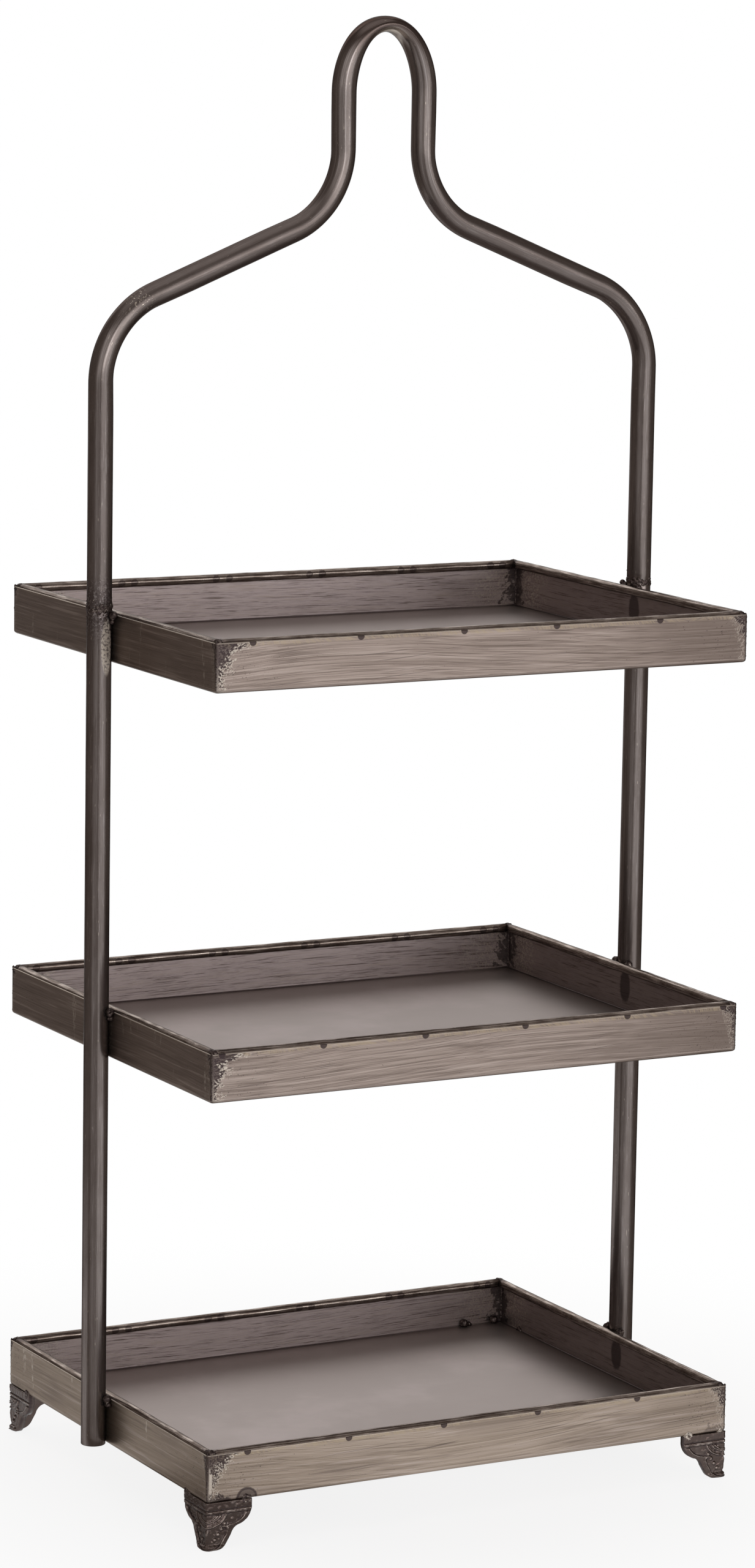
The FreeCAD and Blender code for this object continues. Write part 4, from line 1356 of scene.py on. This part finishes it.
def sector(tree, x, y, bearing, half_width):
    """1 in the directions of a panel as seen from above, falling to 0 over soft edges."""
    turn, soft = math.radians(bearing), min(PANEL_EDGE, half_width)
    towards = (x * math.sin(turn) + y * math.cos(turn)) / tree.math("SQRT", x * x + y * y + 1e-6)
    wide = [math.cos(math.radians(half_width + edge)) for edge in (soft, -soft)]
    return tree.ease(towards, *wide)


def soft_panel(tree, direction, panel):
    """Glow of a soft light panel in a direction."""
    x, y, z = direction
    rise = [math.sin(math.radians(panel.low + edge)) for edge in (-panel.low_edge, panel.low_edge)]
    fall = [math.sin(math.radians(panel.high + edge)) for edge in (PANEL_EDGE, -PANEL_EDGE)]
    wide = sector(tree, x, y, panel.bearing, panel.half_width)
    return wide * tree.ease(z, *rise) * tree.ease(z, *fall) * panel.level


def build_world(colours):
    """Plain studio: dim room, backdrop behind, key panels in front, a fill panel and a panel overhead."""
    world = bpy.data.worlds.new("studio")
    world.use_nodes = True
    bpy.context.scene.world = world
    tree = ShaderTree(world.node_tree)
    direction = tree.parts(tree.add("TexCoord", output="Generated"))
    glow = soft_panel(tree, direction, BACKDROP)
    for panel in (KEY, KEY_STRIP, LOW_KEY, FILL):
        glow = soft_panel(tree, direction, panel) + glow
    edges = [math.cos(math.radians(angle)) for angle in OVERHEAD]
    glow = tree.ease(direction[2], *edges) * OVERHEAD_LEVEL + glow
    red, green, blue = (glow + part for part in colours.room)
    seen = tree.add("LightPath", output="Is Camera Ray")
    colour = tree.blend(seen, tree.vector(red, green, blue), WHITE)
    tree.feed(tree.nodes["Background"].inputs["Color"], colour)


def build_floor(colours):
    """Pale floor that keeps the stand's shadow; metal mirrors it white near it and below the panels."""
    bpy.ops.mesh.primitive_plane_add(size=2 * FLOOR_HALF)
    floor = bpy.context.object
    floor.name = "studio_floor"
    finish = Finish("studio_floor", metallic=0.0, edge_tint=1.0)
    finish.material.cycles.emission_sampling = "NONE"
    finish.set("Base Color", colours.stage)
    finish.set("Roughness", 1.0)
    finish.set("Specular IOR Level", 0.0)
    x, y, _ = finish.place()
    away = finish.length(x, y)
    near = finish.most(*(sector(finish, x, y, *panel) for panel in NEAR_FLOOR))
    lit = finish.ease(away, *NEAR_REACH, 0.0, NEAR_LEVEL) * near
    for panel, level in ((BACKDROP, 1.0), (KEY, 1.0), (FILL, FILL_SHARE)):
        lit = finish.most(lit, sector(finish, x, y, panel.bearing, panel.half_width) * level)
    low_key = sector(finish, x, y, LOW_KEY.bearing, LOW_KEY.half_width)
    lit = finish.most(lit, low_key * finish.ease(away, *LOW_KEY_REACH))
    seen = finish.add("LightPath", output="Is Camera Ray")
    mirrored = finish.add("LightPath", output="Is Glossy Ray")
    white = finish.blend(mirrored, WHITE, finish.blend(lit, colours.room, WHITE))
    glow = finish.add("Emission", white)
    shown = finish.most(finish.ease(away, *SHADOW_REACH, *SHADOW_SHARES) * seen, mirrored)
    mix = finish.add("MixShader", shown, Wire(finish, finish.shader.outputs[0]), glow)
    finish.feed(finish.nodes["Material Output"].inputs["Surface"], mix)
    floor.data.materials.append(finish.material)


class STAND_OT_tubes(Operator):
    """Build the handle arch and the posts"""

    bl_idname = "stand.tubes"
    bl_label = "Tubes"

    def execute(self, context):
        build_tubes(context.scene.stand_sizes)
        return {"FINISHED"}


class STAND_OT_pans(Operator):
    """Build the three folded trays"""

    bl_idname = "stand.pans"
    bl_label = "Trays"

    def execute(self, context):
        build_pans(context.scene.stand_sizes)
        return {"FINISHED"}


class STAND_OT_rims(Operator):
    """Build the rim rods of the trays"""

    bl_idname = "stand.rims"
    bl_label = "Rim rods"

    def execute(self, context):
        build_rims(context.scene.stand_sizes)
        return {"FINISHED"}


class STAND_OT_corner_welds(Operator):
    """Build the seam welds at the tray corners"""

    bl_idname = "stand.corner_welds"
    bl_label = "Corner welds"

    def execute(self, context):
        build_corner_welds(context.scene.stand_sizes)
        return {"FINISHED"}


class STAND_OT_post_welds(Operator):
    """Build the beads between trays and posts"""

    bl_idname = "stand.post_welds"
    bl_label = "Post welds"

    def execute(self, context):
        build_post_welds(context.scene.stand_sizes)
        return {"FINISHED"}


class STAND_OT_joint_welds(Operator):
    """Build the ring welds where the arch meets the posts"""

    bl_idname = "stand.joint_welds"
    bl_label = "Joint welds"

    def execute(self, context):
        build_joint_welds(context.scene.stand_sizes)
        return {"FINISHED"}


class STAND_OT_feet(Operator):
    """Build the four cast feet"""

    bl_idname = "stand.feet"
    bl_label = "Feet"

    def execute(self, context):
        build_feet(context.scene.stand_sizes)
        return {"FINISHED"}


class STAND_OT_foot_welds(Operator):
    """Build the tacks that hold the feet"""

    bl_idname = "stand.foot_welds"
    bl_label = "Foot welds"

    def execute(self, context):
        build_foot_welds(context.scene.stand_sizes)
        return {"FINISHED"}


class STAND_OT_stage(Operator):
    """Set up the studio floor, its light and the camera"""

    bl_idname = "stand.stage"
    bl_label = "Stage"

    def execute(self, context):
        build_camera()
        build_world(context.scene.stand_colours)
        build_floor(context.scene.stand_colours)
        context.scene.view_settings.view_transform = "Standard"
        return {"FINISHED"}


BUILDERS = (
    STAND_OT_tubes,
    STAND_OT_pans,
    STAND_OT_rims,
    STAND_OT_corner_welds,
    STAND_OT_post_welds,
    STAND_OT_joint_welds,
    STAND_OT_feet,
    STAND_OT_foot_welds,
    STAND_OT_stage,
)


class STAND_PT_dresser(Panel):
    """Sizes, colours and builders of the tray stand"""

    bl_idname = "STAND_PT_dresser"
    bl_label = "Tray Stand"
    bl_space_type = "VIEW_3D"
    bl_region_type = "UI"
    bl_category = "Tray Stand"

    def draw(self, context):
        for builder in BUILDERS:
            self.layout.operator(builder.bl_idname)
        for group in (context.scene.stand_sizes, context.scene.stand_colours):
            box = self.layout.box()
            for name in group.__annotations__:
                box.prop(group, name)


CLASSES = (StandSizes, StandColours, *BUILDERS, STAND_PT_dresser)


def register():
    for item in CLASSES:
        bpy.utils.register_class(item)
    bpy.types.Scene.stand_sizes = PointerProperty(type=StandSizes)
    bpy.types.Scene.stand_colours = PointerProperty(type=StandColours)


def unregister():
    del bpy.types.Scene.stand_colours
    del bpy.types.Scene.stand_sizes
    for item in reversed(CLASSES):
        bpy.utils.unregister_class(item)


def main():
    register()
    for builder in BUILDERS:
        group, name = builder.bl_idname.split(".")
        getattr(getattr(bpy.ops, group), name)()


if __name__ == "__main__":
    main()
